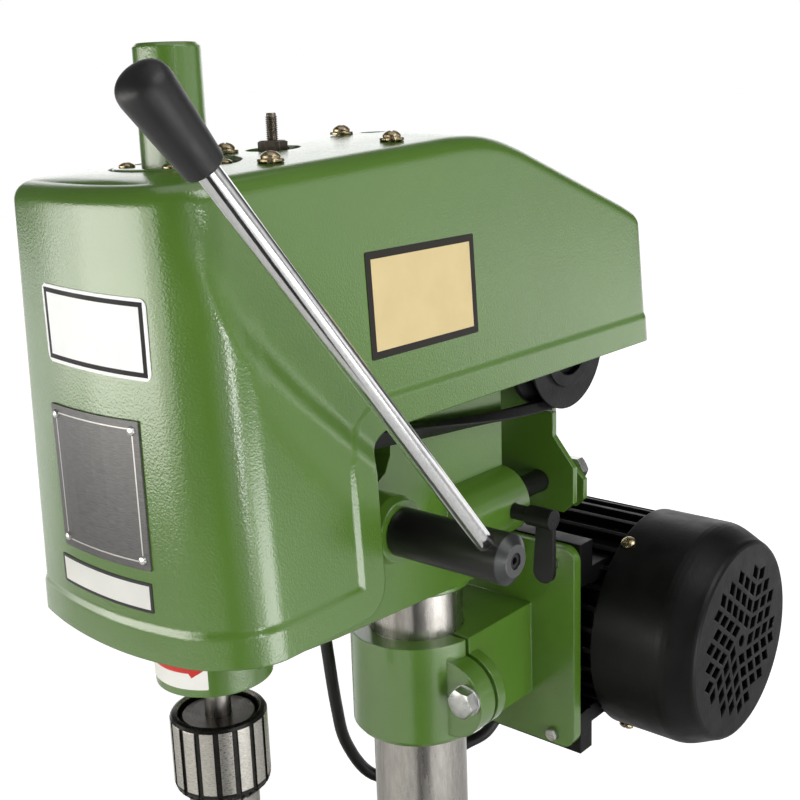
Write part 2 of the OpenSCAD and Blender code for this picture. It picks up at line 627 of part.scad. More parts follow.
module lever_hub() color(black) lift() translate([hub_start, -lever_y, lever_z]) difference() {
    rotate([0, 90, 0]) union() {
        cylinder(r = hub_d / 2, h = hub_end - 3.2 - hub_start);
        translate([0, 0, hub_end - 3.2 - hub_start]) cylinder(r1 = hub_d / 2, r2 = hub_d / 2 - 4.2, h = 3.2);
    }
    rotate([0, 90, 0]) translate([0, 0, -1]) cylinder(r = 8, h = 1.4);
    translate([rod_x - hub_start, 0, 0]) rotate([90 - lever_tilt, 0, 0]) translate([0, 0, 0.5])
        cylinder(r = rod_d / 2, h = 20);
    translate([hub_end - hub_start - 4, 0, 0]) rotate([0, 90, 0]) cylinder(r = 3.6, h = 10);
}

module lever_screw() color([0.25, 0.25, 0.25]) lift() translate([hub_end - 4, -lever_y, lever_z])
    rotate([0, 90, 0])
    difference() {
        cylinder(r = 3.6, h = 3.4);
        translate([0, 0, 1]) cylinder(r = 1.8, h = 4, $fn = 6);
    }

module along_lever() translate([rod_x, -lever_y, lever_z]) rotate([90 - lever_tilt, 0, 0]) children();

module lever_rod() color(steel) lift() along_lever() zcyl(rod_d / 2, 0.5, lever_len - 14);

grip_l = 37.5;
module lever_grip() color([0.15, 0.15, 0.15]) lift() along_lever() difference() {
    translate([0, 0, lever_len - grip_l]) rotate_extrude() polygon(concat([[0, 0], [6.4, 0], [7.1, 1]],
        [for (i = [0 : 6]) let (f = i / 6) [7.2 + 1.9 * f, 1.4 + (grip_l - 8.8) * f]],
        [for (a = [12 : 12 : 84]) [9.1 * pow(cos(a), 0.77), grip_l - 7.4 + 7.4 * pow(sin(a), 0.77)]],
        [[0, grip_l]]));
    zcyl(rod_d / 2, lever_len - grip_l - 1, lever_len - 14);
}

// Quill, spindle and chuck.
module quill() color(steel) lift() translate([0, -throat, 0]) difference() {
    zcyl(quill_d / 2, nose_z + 2, quill_top);
    zcyl(8.5, nose_z, quill_top + 1);
    zcyl(12, nose_z + 1, nose_z + 14);
    zcyl(12, quill_top - 12, quill_top + 1);
    box([-6.2, throat - lever_y - fork_r - ball_r - 0.7, lever_z + fork_r * sin(fork_rest) - ball_r - 0.9],
        [6.2, 30, lever_z + fork_r * sin(fork_rest) + ball_r + 0.9]);
}

module quill_bearings() color(steel) lift() translate([0, -throat, 0]) for (z = [nose_z + 3,
    quill_top - 12])
    difference() {
        zcyl(12, z, z + 11);
        zcyl(6 + run, z - 1, z + 12);
    }

module spindle() color(steel) lift() translate([0, -throat, 0]) difference() {
    union() {
        zcyl(spin_r, chuck_top - 18, nose_z + 1);
        zcyl(6, nose_z + 0.5, 352);
        zcyl(7, nose_z + 14.4, quill_top - 12.4);
    }
    for (a = [0 : 60 : 300]) rotate([0, 0, a]) box([5.2, -1, 196], [8, 1, 353]);
}

module jaw_axis(k) translate([0, -throat, 20]) rotate([0, 0, 45 + 120 * k]) translate([4.6, 0, 0])
    rotate([0, jaw_tilt, 0]) children();

module chuck_body() color([0.3, 0.3, 0.3]) lift() difference() {
    translate([0, -throat, 0]) rotate_extrude() polygon([[0, 24], [10.5, 24], [body_lo - 0.3, 31],
        [body_lo, 40], [body_lo, teeth_z - 3], [body_r, teeth_z], [body_r, chuck_top - 4], [body_r - 2,
            chuck_top - 2.4], [0, chuck_top - 2.4]]);
    zcyl(spin_r, chuck_top - 18, chuck_top + 5, 0, -throat);
    zcyl(3.8, 20, 50, 0, -throat);
    for (k = [0 : 2]) jaw_axis(k) zcyl(jaw_r + 0.08, -5, jaw_len + 7.5);
}

module chuck_sleeve() color(black) lift() translate([0, -throat, 0]) difference() {
    rotate_extrude() polygon([[body_lo + 0.4, teeth_z - 4.2], [body_lo + 1, teeth_z - 4.2],
        [chuck_r - 0.6, teeth_z - 0.2], [chuck_r, teeth_z + 2], [chuck_r, chuck_top - 2.2], [chuck_r - 1,
            chuck_top - 0.7], [chuck_r - 2.6, chuck_top],
        [body_r + run, chuck_top - 1.4], [body_r + run, teeth_z - 0.5], [body_lo + 0.4, teeth_z - 3.4]]);
    for (a = [0 : 22.5 : 359]) rotate([0, 0, a]) translate([chuck_r - 0.9, -1.3, teeth_z + 1.2])
        cube([4, 2.6, chuck_top - 3.2 - teeth_z]);
    for (i = [0 : 33]) rotate([0, 0, i * 360 / 34 + 3])
        translate([body_lo + 1, 0, teeth_z - 4.2]) rotate([0, -43, 0]) translate([-2, -0.9, -3]) cube([9,
            1.8, 4.2]);
}

module jaw(k) color(zinc) lift() jaw_axis(k) zcyl(jaw_r, 0, jaw_len);

module jaw_1() jaw(0);

module jaw_2() jaw(1);

module jaw_3() jaw(2);

module spindle_pulley() color(black) lift() translate([0, -throat, pulley_z]) rotate_extrude() polygon([
    [sleeve_r - 0.5 + run, -3], [22, -3], [26, -9], [sp_r + 2.8, -9], [sp_r + 2.8, -6], [sp_r - 6, -2.8],
        [sp_r - 6, 2.8],
    [sp_r + 2.8, 6], [sp_r + 2.8, 8], [24, 8], [20, 12], [20, 30], [sleeve_r - 0.5 + run, 30]]);

module clutch_cone() color([0.5, 0.4, 0.3]) lift() translate([0, -throat, 0]) rotate_extrude()
    polygon([[6 + run, quill_top + 1], [26, quill_top + 1], [26, quill_top + 8], [24, quill_top + 11],
        [16, quill_top + 11], [16, quill_top + 9], [6 + run, quill_top + 9]]);

// Switch box on the left of the head.
sw_x0 = -38.2;
sw_x1 = -72;
module switch_box() color([0.2, 0.2, 0.2]) lift() difference() {
    translate([sw_x1, 0, 0]) rotate([90, 0, 90]) linear_extrude(sw_x0 - sw_x1) round_rect(-49.5, -9.5,
        112, 178, 4);
    for (z = [133, 158]) xcyl(9.4, sw_x1 - 1, sw_x1 + 12, -30, z);
}

module switch_gland() color(black) lift() {
    translate([-54, -18, 105]) cylinder(r = 8.5, h = 7, $fn = 6);
    zcyl(6.5, 98, 105.5, -54, -18);
    translate([-54, -38, 105]) cylinder(r = 8.5, h = 7, $fn = 6);
    zcyl(6.5, 98, 105.5, -54, -38);
}

module button(z) lift() {
    xcyl(9, sw_x1 - 5, sw_x1 + 8, -30, z);
}

module start_button() color([0.1, 0.5, 0.2]) button(158);

module stop_button() color([0.7, 0.1, 0.1]) button(133);

// Cable from the switch box to the motor.
route = [[-54, -18, 388], [-54, -18, 374], [-54, -14, 342], [-57.5, -5.5, 302], [-60, 3.3, 274],
    [-56, 17.4, 249], [-44, 32, 242], [-31, 46, 249], [-17, 59, 261], [-8, 70, 268], [-4, 81, 280.8]];
function spline(a, b, c, d, t) = 0.5 * (2 * b + (c - a) * t + (2 * a - 5 * b + 4 * c - d) * t * t
    + (3 * b - a - 3 * c + d) * t * t * t);
route_n = len(route);
cable_p = concat([for (i = [0 : route_n - 2], s = [0 : 2]) spline(route[max(0, i - 1)], route[i],
    route[i + 1],
    route[min(route_n - 1, i + 2)], s / 3)], [route[route_n - 1]]);
cable_n = len(cable_p);
function unit(v) = v / norm(v);
function tangent(i) = i == 0 ? [0, 0, -1]
    : i == cable_n - 1 ? [0, -cos(gland_a), -sin(gland_a)]
    : unit(cable_p[i + 1] - cable_p[i - 1]);
cable_s = 10;
cable_v = [for (i = [0 : cable_n - 1]) let (t = tangent(i), u = unit(cross(t, [0.8, -0.6, 0])),
    v = cross(t, u))
    each [for (k = [0 : cable_s - 1]) let (a = 360 * k / cable_s)
        cable_p[i] + (u * cos(a) + v * sin(a)) * cable_d / 2]];
cable_f = concat(
    [for (i = [0 : cable_n - 2], k = [0 : cable_s - 1])
        let (a = i * cable_s + k, b = i * cable_s + (k + 1) % cable_s)
        each [[a, a + cable_s, b + cable_s], [a, b + cable_s, b]]],
    [[for (k = [0 : cable_s - 1]) k]],
    [[for (k = [cable_s - 1 : -1 : 0]) (cable_n - 1) * cable_s + k]]);

module cable() color(black) translate([0, 0, head_z - 290]) polyhedron(points = cable_v, faces = cable_f);

base();
base_bolts();
column();
head_casting();
head_bolts();
hood_standoffs();
hood();
hood_screws();
hood_stud();
data_plate();
plate_rivets();
post();
post_screws();
pulley_sleeve();
motor_bracket();
clamp_bolt();
motor_frame();
motor_shield();
motor_bolts();
fan_cover();
cover_screws();
motor_gland();
motor_shaft();
motor_fan();
motor_pulley();
guide_bars();
shaft_bracket();
bracket_bolts();
shaft_bearings();
countershaft();
step_pulley();
shaft_pulley();
twist_belt();
motor_belt();
clamp_lever();
lever_shaft();
lever_hub();
lever_screw();
lever_rod();
lever_grip();
quill();
quill_bearings();
spindle();
chuck_body();
chuck_sleeve();
jaw_1();
jaw_2();
jaw_3();
spindle_pulley();
clutch_cone();
switch_box();
switch_gland();
start_button();
stop_button();
cable();
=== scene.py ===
import json
import math

import bmesh
import bpy
import numpy as np
from mathutils import Matrix, Vector


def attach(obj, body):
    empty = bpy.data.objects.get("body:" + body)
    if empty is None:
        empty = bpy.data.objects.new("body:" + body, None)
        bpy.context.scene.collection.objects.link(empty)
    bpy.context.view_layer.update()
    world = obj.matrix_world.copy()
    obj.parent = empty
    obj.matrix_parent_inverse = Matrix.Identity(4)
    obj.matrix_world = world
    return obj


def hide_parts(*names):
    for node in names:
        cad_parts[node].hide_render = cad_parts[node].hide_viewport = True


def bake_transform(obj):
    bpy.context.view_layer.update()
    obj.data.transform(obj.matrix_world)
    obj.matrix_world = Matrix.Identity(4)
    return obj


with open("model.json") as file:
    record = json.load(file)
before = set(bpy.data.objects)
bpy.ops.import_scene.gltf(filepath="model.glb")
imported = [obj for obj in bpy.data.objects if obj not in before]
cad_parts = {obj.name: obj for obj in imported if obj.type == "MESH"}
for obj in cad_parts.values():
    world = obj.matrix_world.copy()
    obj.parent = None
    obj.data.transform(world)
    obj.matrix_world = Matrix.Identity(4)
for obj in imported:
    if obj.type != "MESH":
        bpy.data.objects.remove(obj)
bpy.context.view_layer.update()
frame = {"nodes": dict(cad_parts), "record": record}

# Lengths are in millimetres and heights over the head's datum plane, unless a comment says otherwise.
MM = 0.001
HEAD_Z = 290.0
THROAT = 138.0
scene = bpy.context.scene


def put(name, data):
    """Makes an object of its data and puts it into the scene."""
    piece = bpy.data.objects.new(name, data)
    scene.collection.objects.link(piece)
    return piece


# Camera, at the photograph's viewing point, in metres and degrees.
CAMERA_AT = (0.3936, -0.4596, 0.6402)
YAW, PITCH, ROLL = 40.996, 14.133, -2.078
LENS, SENSOR = 55.48, 36.0


def place_camera():
    yaw, pitch, roll = map(math.radians, (YAW, PITCH, ROLL))
    forward = Vector((-math.sin(yaw) * math.cos(pitch), math.cos(yaw) * math.cos(pitch), -math.sin(pitch)))
    level = Vector((math.cos(yaw), math.sin(yaw), 0.0))
    above = level.cross(forward)
    right = math.cos(roll) * level + math.sin(roll) * above
    up = -math.sin(roll) * level + math.cos(roll) * above
    data = bpy.data.cameras.new("camera")
    data.lens = LENS
    data.sensor_width = SENSOR
    camera = put("camera", data)
    turn = Matrix((right, up, -forward)).transposed().to_4x4()
    camera.matrix_world = Matrix.Translation(CAMERA_AT) @ turn
    scene.camera = camera


place_camera()


# Cable from the switch box to the motor, on the route of the part's solid, with heights over the bench.
ROUTE = [(-54, -18, 388), (-54, -18, 374), (-54, -14, 342), (-57.5, -5.5, 302), (-60, 3.3, 274),
         (-56, 17.4, 249), (-44, 32, 242), (-31, 46, 249), (-17, 59, 261), (-8, 70, 268), (-4, 81, 280.8)]
CABLE_STEPS = 6
CABLE_D = 7.0


def through(points, steps):
    """Smooth line through the points, with some steps from each to the next."""
    p = np.array(points, float)
    last = len(p) - 1
    line = []
    for i in range(last):
        a, b, c, d = p[max(0, i - 1)], p[i], p[i + 1], p[min(last, i + 2)]
        for s in range(steps):
            t = s / steps
            line.append(0.5 * (2 * b + (c - a) * t + (2 * a - 5 * b + 4 * c - d) * t * t
                               + (3 * b - a - 3 * c + d) * t ** 3))
    return np.array(line + [p[last]])


def make_cable():
    line = through(ROUTE, CABLE_STEPS) * MM
    data = bpy.data.curves.new("cable_line", "CURVE")
    data.dimensions = "3D"
    data.bevel_depth = CABLE_D / 2 * MM
    data.bevel_resolution = 5
    data.use_fill_caps = True
    run = data.splines.new("POLY")
    run.points.add(len(line) - 1)
    for point, co in zip(run.points, line):
        point.co = (*co, 1.0)
    run.use_smooth = True
    curve = put("cable_line", data)
    mesh = bpy.data.meshes.new_from_object(curve.evaluated_get(bpy.context.evaluated_depsgraph_get()))
    bpy.data.objects.remove(curve)
    mesh.name = "cable_run"
    piece = put("cable_run", mesh)
    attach(piece, "head")
    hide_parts("cable")
    return piece


cable = make_cable()


# Shader helpers.
def srgb(r, g, b):
    def one(v):
        v /= 255.0
        return v / 12.92 if v <= 0.04045 else ((v + 0.055) / 1.055) ** 2.4
    return (one(r), one(g), one(b), 1.0)


def tint(color, k):
    return (min(1.0, color[0] * k), min(1.0, color[1] * k), min(1.0, color[2] * k), 1.0)


class Nodes:
    """Adds nodes to a shader tree. What a call returns can be the input of the next one."""

    def __init__(self, tree):
        self.tree = tree

    def feed(self, socket, value):
        if isinstance(value, bpy.types.NodeSocket):
            self.tree.links.new(value, socket)
        else:
            socket.default_value = value

    def add(self, kind, inputs=None, **props):
        made = self.tree.nodes.new("ShaderNode" + kind)
        for key, value in props.items():
            setattr(made, key, value)
        for key, value in (inputs or {}).items():
            self.feed(made.inputs[key], value)
        return made.outputs

    def math(self, operation, a, b=0.0):
        return self.add("Math", {0: a, 1: b}, operation=operation)[0]

    def dot(self, a, b):
        return self.add("VectorMath", {0: a, 1: b}, operation="DOT_PRODUCT")["Value"]

    def spread(self, value, low, high, to_low=0.0, to_high=1.0):
        return self.add("MapRange", {"Value": value, "From Min": low, "From Max": high, "To Min": to_low,
                                     "To Max": to_high})[0]

    def mix(self, factor, a, b):
        return self.add("Mix", {0: factor, 6: a, 7: b}, data_type="RGBA")[2]

    def choose(self, factor, a, b):
        """The number a where the factor is 0 and b where it is 1."""
        return self.add("Mix", {0: factor, 2: a, 3: b}, data_type="FLOAT")[0]


class Surface(Nodes):
    """A material with its Principled shader, object coordinates and a rounded-edge normal."""

    def __init__(self, name, edge):
        self.material = bpy.data.materials.new(name)
        self.material.use_nodes = True
        super().__init__(self.material.node_tree)
        self.shader = self.tree.nodes["Principled BSDF"]
        self.where = self.add("TexCoord")["Object"]
        self.normal = self.rounded(edge)

    def rounded(self, radius):
        return self.add("Bevel", {"Radius": radius}, samples=4)[0]

    def set(self, **values):
        for key, value in values.items():
            self.feed(self.shader.inputs[key.replace("_", " ")], value)

    def split(self):
        return self.add("SeparateXYZ", {0: self.where})

    def stretched(self, scale):
        return self.add("Mapping", {"Vector": self.where, "Scale": scale})[0]

    def noise(self, scale, detail, rough=0.5, where=None):
        return self.add("TexNoise", {"Vector": where or self.where, "Scale": scale, "Detail": detail,
                                     "Roughness": rough})[0]

    def wander(self, pattern, low, high):
        """A number that wanders from low to high with a noise pattern."""
        return self.spread(pattern, 0.3, 0.7, low, high)

    def mottle(self, pattern, dark, light):
        """A colour that wanders from dark to light with a noise pattern."""
        return self.mix(self.spread(pattern, 0.3, 0.7), dark, light)

    def bump(self, height, distance):
        inputs = {"Height": height, "Distance": distance, "Strength": 1.0, "Normal": self.normal}
        self.normal = self.add("Bump", inputs)[0]

    def edges(self):
        """1 on convex and concave edges, 0 on flat faces."""
        flat = self.add("NewGeometry")["Normal"]
        return self.spread(self.dot(self.rounded(0.0011), flat), 0.98, 0.8)

    def within(self, value, low, high):
        """1 where a length in metres lies between two in millimetres."""
        return self.math("MULTIPLY", self.math("GREATER_THAN", value, low * MM),
                         self.math("LESS_THAN", value, high * MM))

    def off_spindle(self, x, y):
        """Distance from the spindle's axis in metres."""
        ahead = self.math("ADD", y, THROAT * MM)
        return self.math("SQRT", self.math("ADD", self.math("MULTIPLY", x, x),
                                           self.math("MULTIPLY", ahead, ahead)))

    def off_rectangle(self, spot, middle, half):
        """Distance in metres to the outline of a rectangle, negative inside."""
        sides = []
        for value, centre, reach in zip(spot, middle, half):
            off = self.math("ABSOLUTE", self.math("SUBTRACT", value, centre * MM))
            sides.append(self.math("SUBTRACT", off, reach * MM))
        return self.math("MAXIMUM", *sides)

    def done(self, coat=False):
        self.set(Normal=self.normal)
        if coat:
            self.set(Coat_Normal=self.normal)
        return self.material


# Materials. Edge radii and bump heights are in metres.
GREEN = srgb(77, 114, 34)
BARE = srgb(150, 150, 146)


def painted(name, peel, cast):
    """Surface of glossy green enamel on a casting, with its colour, before it is done."""
    s = Surface(name, 0.0011)
    base = s.mottle(s.noise(9.0, 4.0), tint(GREEN, 0.93), tint(GREEN, 1.07))
    grime = s.spread(s.noise(38.0, 5.0, 0.65), 0.62, 0.8, 0.0, 0.25)
    base = s.mix(grime, base, tint(GREEN, 0.72))
    spots = s.spread(s.noise(160.0, 4.0, 0.7), 0.6, 0.66)
    base = s.mix(s.math("MULTIPLY", s.edges(), spots), base, srgb(116, 128, 100))
    s.set(Base_Color=base, Roughness=s.wander(s.noise(60.0, 3.0), 0.31, 0.42), Specular_IOR_Level=0.15,
          Coat_Weight=1.0, Coat_Roughness=0.2, Coat_IOR=1.9)
    s.bump(s.noise(90.0, 1.0, 0.4), cast)
    s.bump(s.noise(1050.0, 1.0, 0.4), peel)
    return s, base


def enamel(name, peel, cast):
    return painted(name, peel, cast)[0].done(coat=True)


def base_paint():
    """Green enamel, with the table's ground top left bare."""
    above = 57.4
    s, paint = painted("base_enamel", 0.00012, 0.00012)
    flat = s.add("SeparateXYZ", {0: s.add("NewGeometry")["True Normal"]})[2]
    top = s.math("MULTIPLY", s.math("GREATER_THAN", s.split()[2], above * MM),
                 s.math("GREATER_THAN", flat, 0.9))
    steel = s.mottle(s.noise(60.0, 3.0, where=s.stretched((1, 40, 1))), tint(BARE, 0.7), tint(BARE, 1.05))
    s.set(Base_Color=s.mix(top, paint, steel), Metallic=top,
          Coat_Weight=s.math("MULTIPLY", s.math("SUBTRACT", 1.0, top), 0.85))
    return s.done(coat=True)


def black_paint(name, value, peel, rough, gloss):
    s = Surface(name, 0.0010)
    color = srgb(value, value, value)
    base = s.mottle(s.noise(24.0, 4.0), tint(color, 0.8), tint(color, 1.35))
    spots = s.spread(s.noise(210.0, 4.0, 0.7), 0.6, 0.68)
    base = s.mix(s.math("MULTIPLY", s.edges(), spots), base, srgb(96, 96, 94))
    s.set(Base_Color=base, Roughness=s.wander(s.noise(90.0, 3.0), rough - 0.06, rough + 0.08),
          Specular_IOR_Level=gloss)
    s.bump(s.noise(520.0, 2.0), peel)
    return s.done()


def metal(name, color, rough, stretch, lines, depth, stains=0.0, stain_color=None):
    s = Surface(name, 0.0005)
    along = s.stretched(stretch)
    grain = s.noise(lines, 2.0, 0.6, along)
    base = s.mix(s.spread(grain, 0.25, 0.75), tint(color, 0.82), tint(color, 1.1))
    if stains:
        stained = s.spread(s.noise(46.0, 6.0, 0.7), 0.6, 0.72, 0.0, stains)
        base = s.mix(stained, base, stain_color or tint(color, 0.35))
    s.set(Base_Color=base, Metallic=1.0,
          Roughness=s.wander(s.noise(lines * 0.3, 3.0, 0.6, along), rough - 0.06, rough + 0.08))
    s.bump(grain, depth)
    return s.done()


def rubber(name, value, rough, scale, depth):
    s = Surface(name, 0.0004)
    dust = s.spread(s.noise(60.0, 5.0, 0.65), 0.5, 0.85, 0.0, 0.3)
    s.set(Base_Color=s.mix(dust, srgb(value, value, value), srgb(52, 51, 49)),
          Roughness=s.wander(s.noise(140.0, 3.0), rough - 0.08, rough + 0.12))
    s.bump(s.noise(scale, 2.0), depth)
    return s.done()


def plastic(name, color, rough, grain=900.0, depth=0.00003):
    s = Surface(name, 0.0006)
    base = s.mottle(s.noise(40.0, 4.0), tint(color, 0.88), tint(color, 1.12))
    # Painted highlight: all edges, convex and concave alike, are drawn lighter.
    base = s.mix(s.math("MULTIPLY", s.edges(), 0.35), base, tint(color, 1.8))
    s.set(Base_Color=base, Roughness=s.wander(s.noise(120.0, 4.0), rough - 0.07, rough + 0.08))
    s.bump(s.noise(grain, 2.0), depth)
    return s.done()


def sleeve_metal():
    """Chuck sleeve: bright lands, black grooves and teeth, a bright bevel on top."""
    land_r, land_low, land_high = 21.45, 54.6, 84.2
    bevel_r, bevel_low = 19.0, 85.0
    s = Surface("sleeve_metal", 0.0004)
    x, y, z = s.split()
    radius = s.off_spindle(x, y)
    land = s.math("MULTIPLY", s.math("GREATER_THAN", radius, land_r * MM),
                  s.within(z, HEAD_Z + land_low, HEAD_Z + land_high))
    bevel = s.math("MULTIPLY", s.math("GREATER_THAN", z, (HEAD_Z + bevel_low) * MM),
                   s.math("LESS_THAN", radius, bevel_r * MM))
    bright = s.math("MAXIMUM", land, s.math("MULTIPLY", bevel, 0.8))
    grain = s.noise(700.0, 3.0, 0.6, s.stretched((1, 1, 6)))
    steel = s.mottle(grain, srgb(172, 168, 160), srgb(214, 211, 203))
    black = s.mottle(s.noise(300.0, 3.0), srgb(24, 23, 22), srgb(44, 42, 40))
    s.set(Base_Color=s.mix(bright, black, steel), Metallic=s.spread(bright, 0.0, 1.0, 0.6, 1.0),
          Roughness=s.wander(grain, 0.24, 0.36))
    s.bump(grain, 0.00001)
    return s.done()


def chuck_metal():
    """Chuck body: turned steel, with painted shade that makes its upper face dark."""
    painted_shade_from, painted_shade_to = 78.0, 80.0
    s = Surface("chuck_metal", 0.0004)
    x, y, z = s.split()
    round_axis = s.add("CombineXYZ", {"X": s.off_spindle(x, y), "Z": z})[0]
    rings = s.noise(1600.0, 2.0, 0.6, round_axis)
    # Painted shade: above these heights the same turned steel is drawn dark.
    upper = s.spread(z, (HEAD_Z + painted_shade_from) * MM, (HEAD_Z + painted_shade_to) * MM)
    steel = s.mottle(rings, srgb(158, 155, 150), srgb(192, 189, 183))
    dark = s.mottle(rings, srgb(66, 62, 60), srgb(92, 88, 85))
    s.set(Base_Color=s.mix(upper, steel, dark), Metallic=1.0,
          Roughness=s.wander(s.noise(300.0, 3.0), 0.26, 0.4))
    s.bump(rings, 0.00001)
    return s.done()


def hub_metal():
    """Black-oxide hub with a turned cone and end face; the cone's darker grey is painted shade and the
    face's lighter grey is painted light, on one turned steel.
    """
    cone_x, face_x = (109.3, 109.6), (112.4, 112.55)
    s = Surface("hub_oxide", 0.0007)
    grain = s.noise(600.0, 3.0, 0.6, s.stretched((6, 1, 1)))
    x = s.split()[0]
    cone = s.spread(x, cone_x[0] * MM, cone_x[1] * MM)
    face = s.spread(x, face_x[0] * MM, face_x[1] * MM)
    dark = s.mottle(s.noise(50.0, 4.0), srgb(14, 14, 14), srgb(24, 24, 23))
    # Painted shade and light: the cone takes a darker grey and the end face a lighter grey of the same
    # turned steel.
    turned = s.mix(face, srgb(70, 71, 71), srgb(96, 97, 97))
    s.set(Base_Color=s.mix(cone, dark, turned), Metallic=s.spread(cone, 0.0, 1.0, 0.0, 0.8),
          Roughness=s.wander(grain, 0.3, 0.42))
    s.bump(grain, 0.00002)
    return s.done()


def data_plate_metal():
    """Etched aluminium plate: grey field, a lighter edge line, nothing written on it."""
    middle, half, line_at = (-1.1, HEAD_Z + 203.0), (27.4, 30.0), (3.0, 3.6)
    s = Surface("etched_plate", 0.0003)
    x, _, z = s.split()
    line = s.within(s.off_rectangle((x, z), middle, half), -line_at[1], -line_at[0])
    brushed = s.noise(260.0, 4.0, 0.6, s.stretched((1, 1, 14)))
    field = s.mottle(brushed, srgb(82, 81, 82), srgb(106, 105, 105))
    s.set(Base_Color=s.mix(line, field, srgb(190, 189, 186)), Metallic=0.7,
          Roughness=s.wander(brushed, 0.3, 0.42))
    s.bump(line, 0.00005)
    return s.done()


MATERIALS = {
    "green_enamel": enamel("green_enamel", 0.00006, 0.00006),
    "black_enamel": black_paint("black_enamel", 9, 0.00008, 0.42, 0.22),
    "black_oxide": black_paint("black_oxide", 16, 0.00004, 0.36, 0.4),
    "black_iron": black_paint("black_iron", 18, 0.00012, 0.5, 0.3),
    "bare_steel": metal("bare_steel", srgb(190, 186, 180), 0.27, (1, 1, 0.2), 500.0, 0.000006,
                        0.3, srgb(104, 96, 86)),
    "bright_steel": metal("bright_steel", srgb(226, 226, 226), 0.1, (6, 1, 1), 500.0, 0.0000015),
    "zinc_steel": metal("zinc_steel", srgb(206, 207, 204), 0.28, (1, 1, 1), 260.0, 0.00002, 0.25),
    "yellow_zinc": metal("yellow_zinc", srgb(180, 164, 132), 0.24, (1, 1, 1), 260.0, 0.00002,
                         0.35, srgb(84, 72, 54)),
    "dull_steel": metal("dull_steel", srgb(150, 140, 130), 0.34, (1, 1, 1), 500.0, 0.00002,
                        0.5, srgb(52, 42, 36)),
    "plate_metal": data_plate_metal(),
    "clutch_lining": rubber("clutch_lining", 74, 0.7, 300.0, 0.0001),
    "belt_rubber": rubber("belt_rubber", 15, 0.55, 500.0, 0.00006),
    "cable_rubber": rubber("cable_rubber", 14, 0.4, 900.0, 0.00002),
    "black_plastic": plastic("black_plastic", srgb(26, 26, 28), 0.45, 700.0, 0.00005),
    "green_button": plastic("green_button", srgb(36, 128, 58), 0.35),
    "red_button": plastic("red_button", srgb(176, 28, 24), 0.35),
}

# Materials of single nodes, which go before those of their slots.
SPECIAL = {
    "base": base_paint(),
    "hood": enamel("hood_enamel", 0.00008, 0.00005),
    "chuck_sleeve": sleeve_metal(),
    "chuck_body": chuck_metal(),
    "lever_hub": hub_metal(),
}

for part in frame["record"]["subparts"]:
    mesh = frame["nodes"][part["node"]].data
    mesh.materials.clear()
    mesh.materials.append(SPECIAL.get(part["node"]) or MATERIALS[part["material_slot"]])
cable.data.materials.append(MATERIALS["cable_rubber"])


# Mesh helpers. A shape's points are in millimetres over the bench.
UP, TO_FRONT, TO_BACK = (0, 0, 1), (0, -1, 0), (0, 1, 0)


def at(x, y, z, axis=UP, turn=0.0):
    """Place whose Z points along axis, from a point over the head's datum plane."""
    spin = Vector(axis).normalized().to_track_quat("Z", "Y").to_matrix().to_4x4()
    return Matrix.Translation((x, y, z + HEAD_Z)) @ spin @ Matrix.Rotation(math.radians(turn), 4, "Z")


def circle(count):
    """Angle, cosine and sine of points round a circle."""
    angles = [2 * math.pi * i / count for i in range(count)]
    return [(a, math.cos(a), math.sin(a)) for a in angles]


class Shape:
    def __init__(self):
        self.points = []
        self.faces = []

    def add(self, points, faces, place=None):
        start = len(self.points)
        for p in points:
            q = Vector(p)
            self.points.append(place @ q if place is not None else q)
        self.faces += [[start + i for i in f] for f in faces]

    def rings(self, rings, place=None, caps=True):
        """Skin over closed rings of equal count, with the two ends capped or open."""
        n = len(rings[0])
        points = [p for ring in rings for p in ring]
        faces = []
        for j in range(len(rings) - 1):
            for i in range(n):
                a, b = j * n + i, j * n + (i + 1) % n
                faces.append([a, b, b + n, a + n])
        if caps:
            faces.append(list(range(n))[::-1])
            faces.append([(len(rings) - 1) * n + i for i in range(n)])
        self.add(points, faces, place)

    def lathe(self, profile, place, count=48):
        """Profile of (radius, height) pairs turned about Z."""
        self.rings([[(r * c, r * s, z) for _, c, s in circle(count)] for r, z in profile], place)

    def hex_head(self, corner, height, place):
        """Hexagon with a turned chamfer on its outer end."""
        flat = corner * math.cos(math.pi / 6)
        disc = flat * 0.94
        rings = [[], [], []]
        for a, c, s in circle(48):
            r = flat / math.cos((a + math.pi / 6) % (math.pi / 3) - math.pi / 6)
            rings[0].append((r * c, r * s, 0.0))
            rings[1].append((r * c, r * s, height - (r - disc) * 0.58))
            rings[2].append((disc * c, disc * s, height))
        self.rings(rings, place)

    def cross_head(self, radius, height, place):
        """Domed screw head with a cross recess."""
        steps = 16
        arm_half, arm_long, slope, deep = 0.13 * radius, 0.58 * radius, 0.06 * radius, 0.55 * height
        turns = circle(64)
        rings = [[(radius * c, radius * s, 0.0) for _, c, s in turns]]
        for k in range(steps):
            f = 1.0 - k / steps
            dome = height * math.sqrt(1.0 - (0.92 * f) ** 2)
            ring = []
            for _, c, s in turns:
                x, y = radius * f * c, radius * f * s
                arm = max(min(abs(x), abs(y)) - arm_half, max(abs(x), abs(y)) - arm_long)
                ring.append((x, y, dome - deep * min(1.0, max(0.0, -arm / slope))))
            rings.append(ring)
        self.rings(rings, place)

    def make(self, name, body, material, angle, replaces=()):
        mesh = bpy.data.meshes.new(name)
        mesh.from_pydata([tuple(p * MM) for p in self.points], [], self.faces)
        work = bmesh.new()
        work.from_mesh(mesh)
        bmesh.ops.remove_doubles(work, verts=work.verts, dist=1e-7)
        bmesh.ops.recalc_face_normals(work, faces=work.faces)
        work.to_mesh(mesh)
        work.free()
        mesh.materials.append(material)
        mesh.shade_smooth()
        mesh.set_sharp_from_angle(angle=math.radians(angle))
        piece = put(name, mesh)
        if body:
            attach(piece, body)
        if replaces:
            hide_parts(*replaces)
        return piece


def smooth(a, b, v):
    """Eased step from 0 at a to 1 at b."""
    t = min(1.0, max(0.0, (v - a) / (b - a)))
    return t * t * (3 - 2 * t)


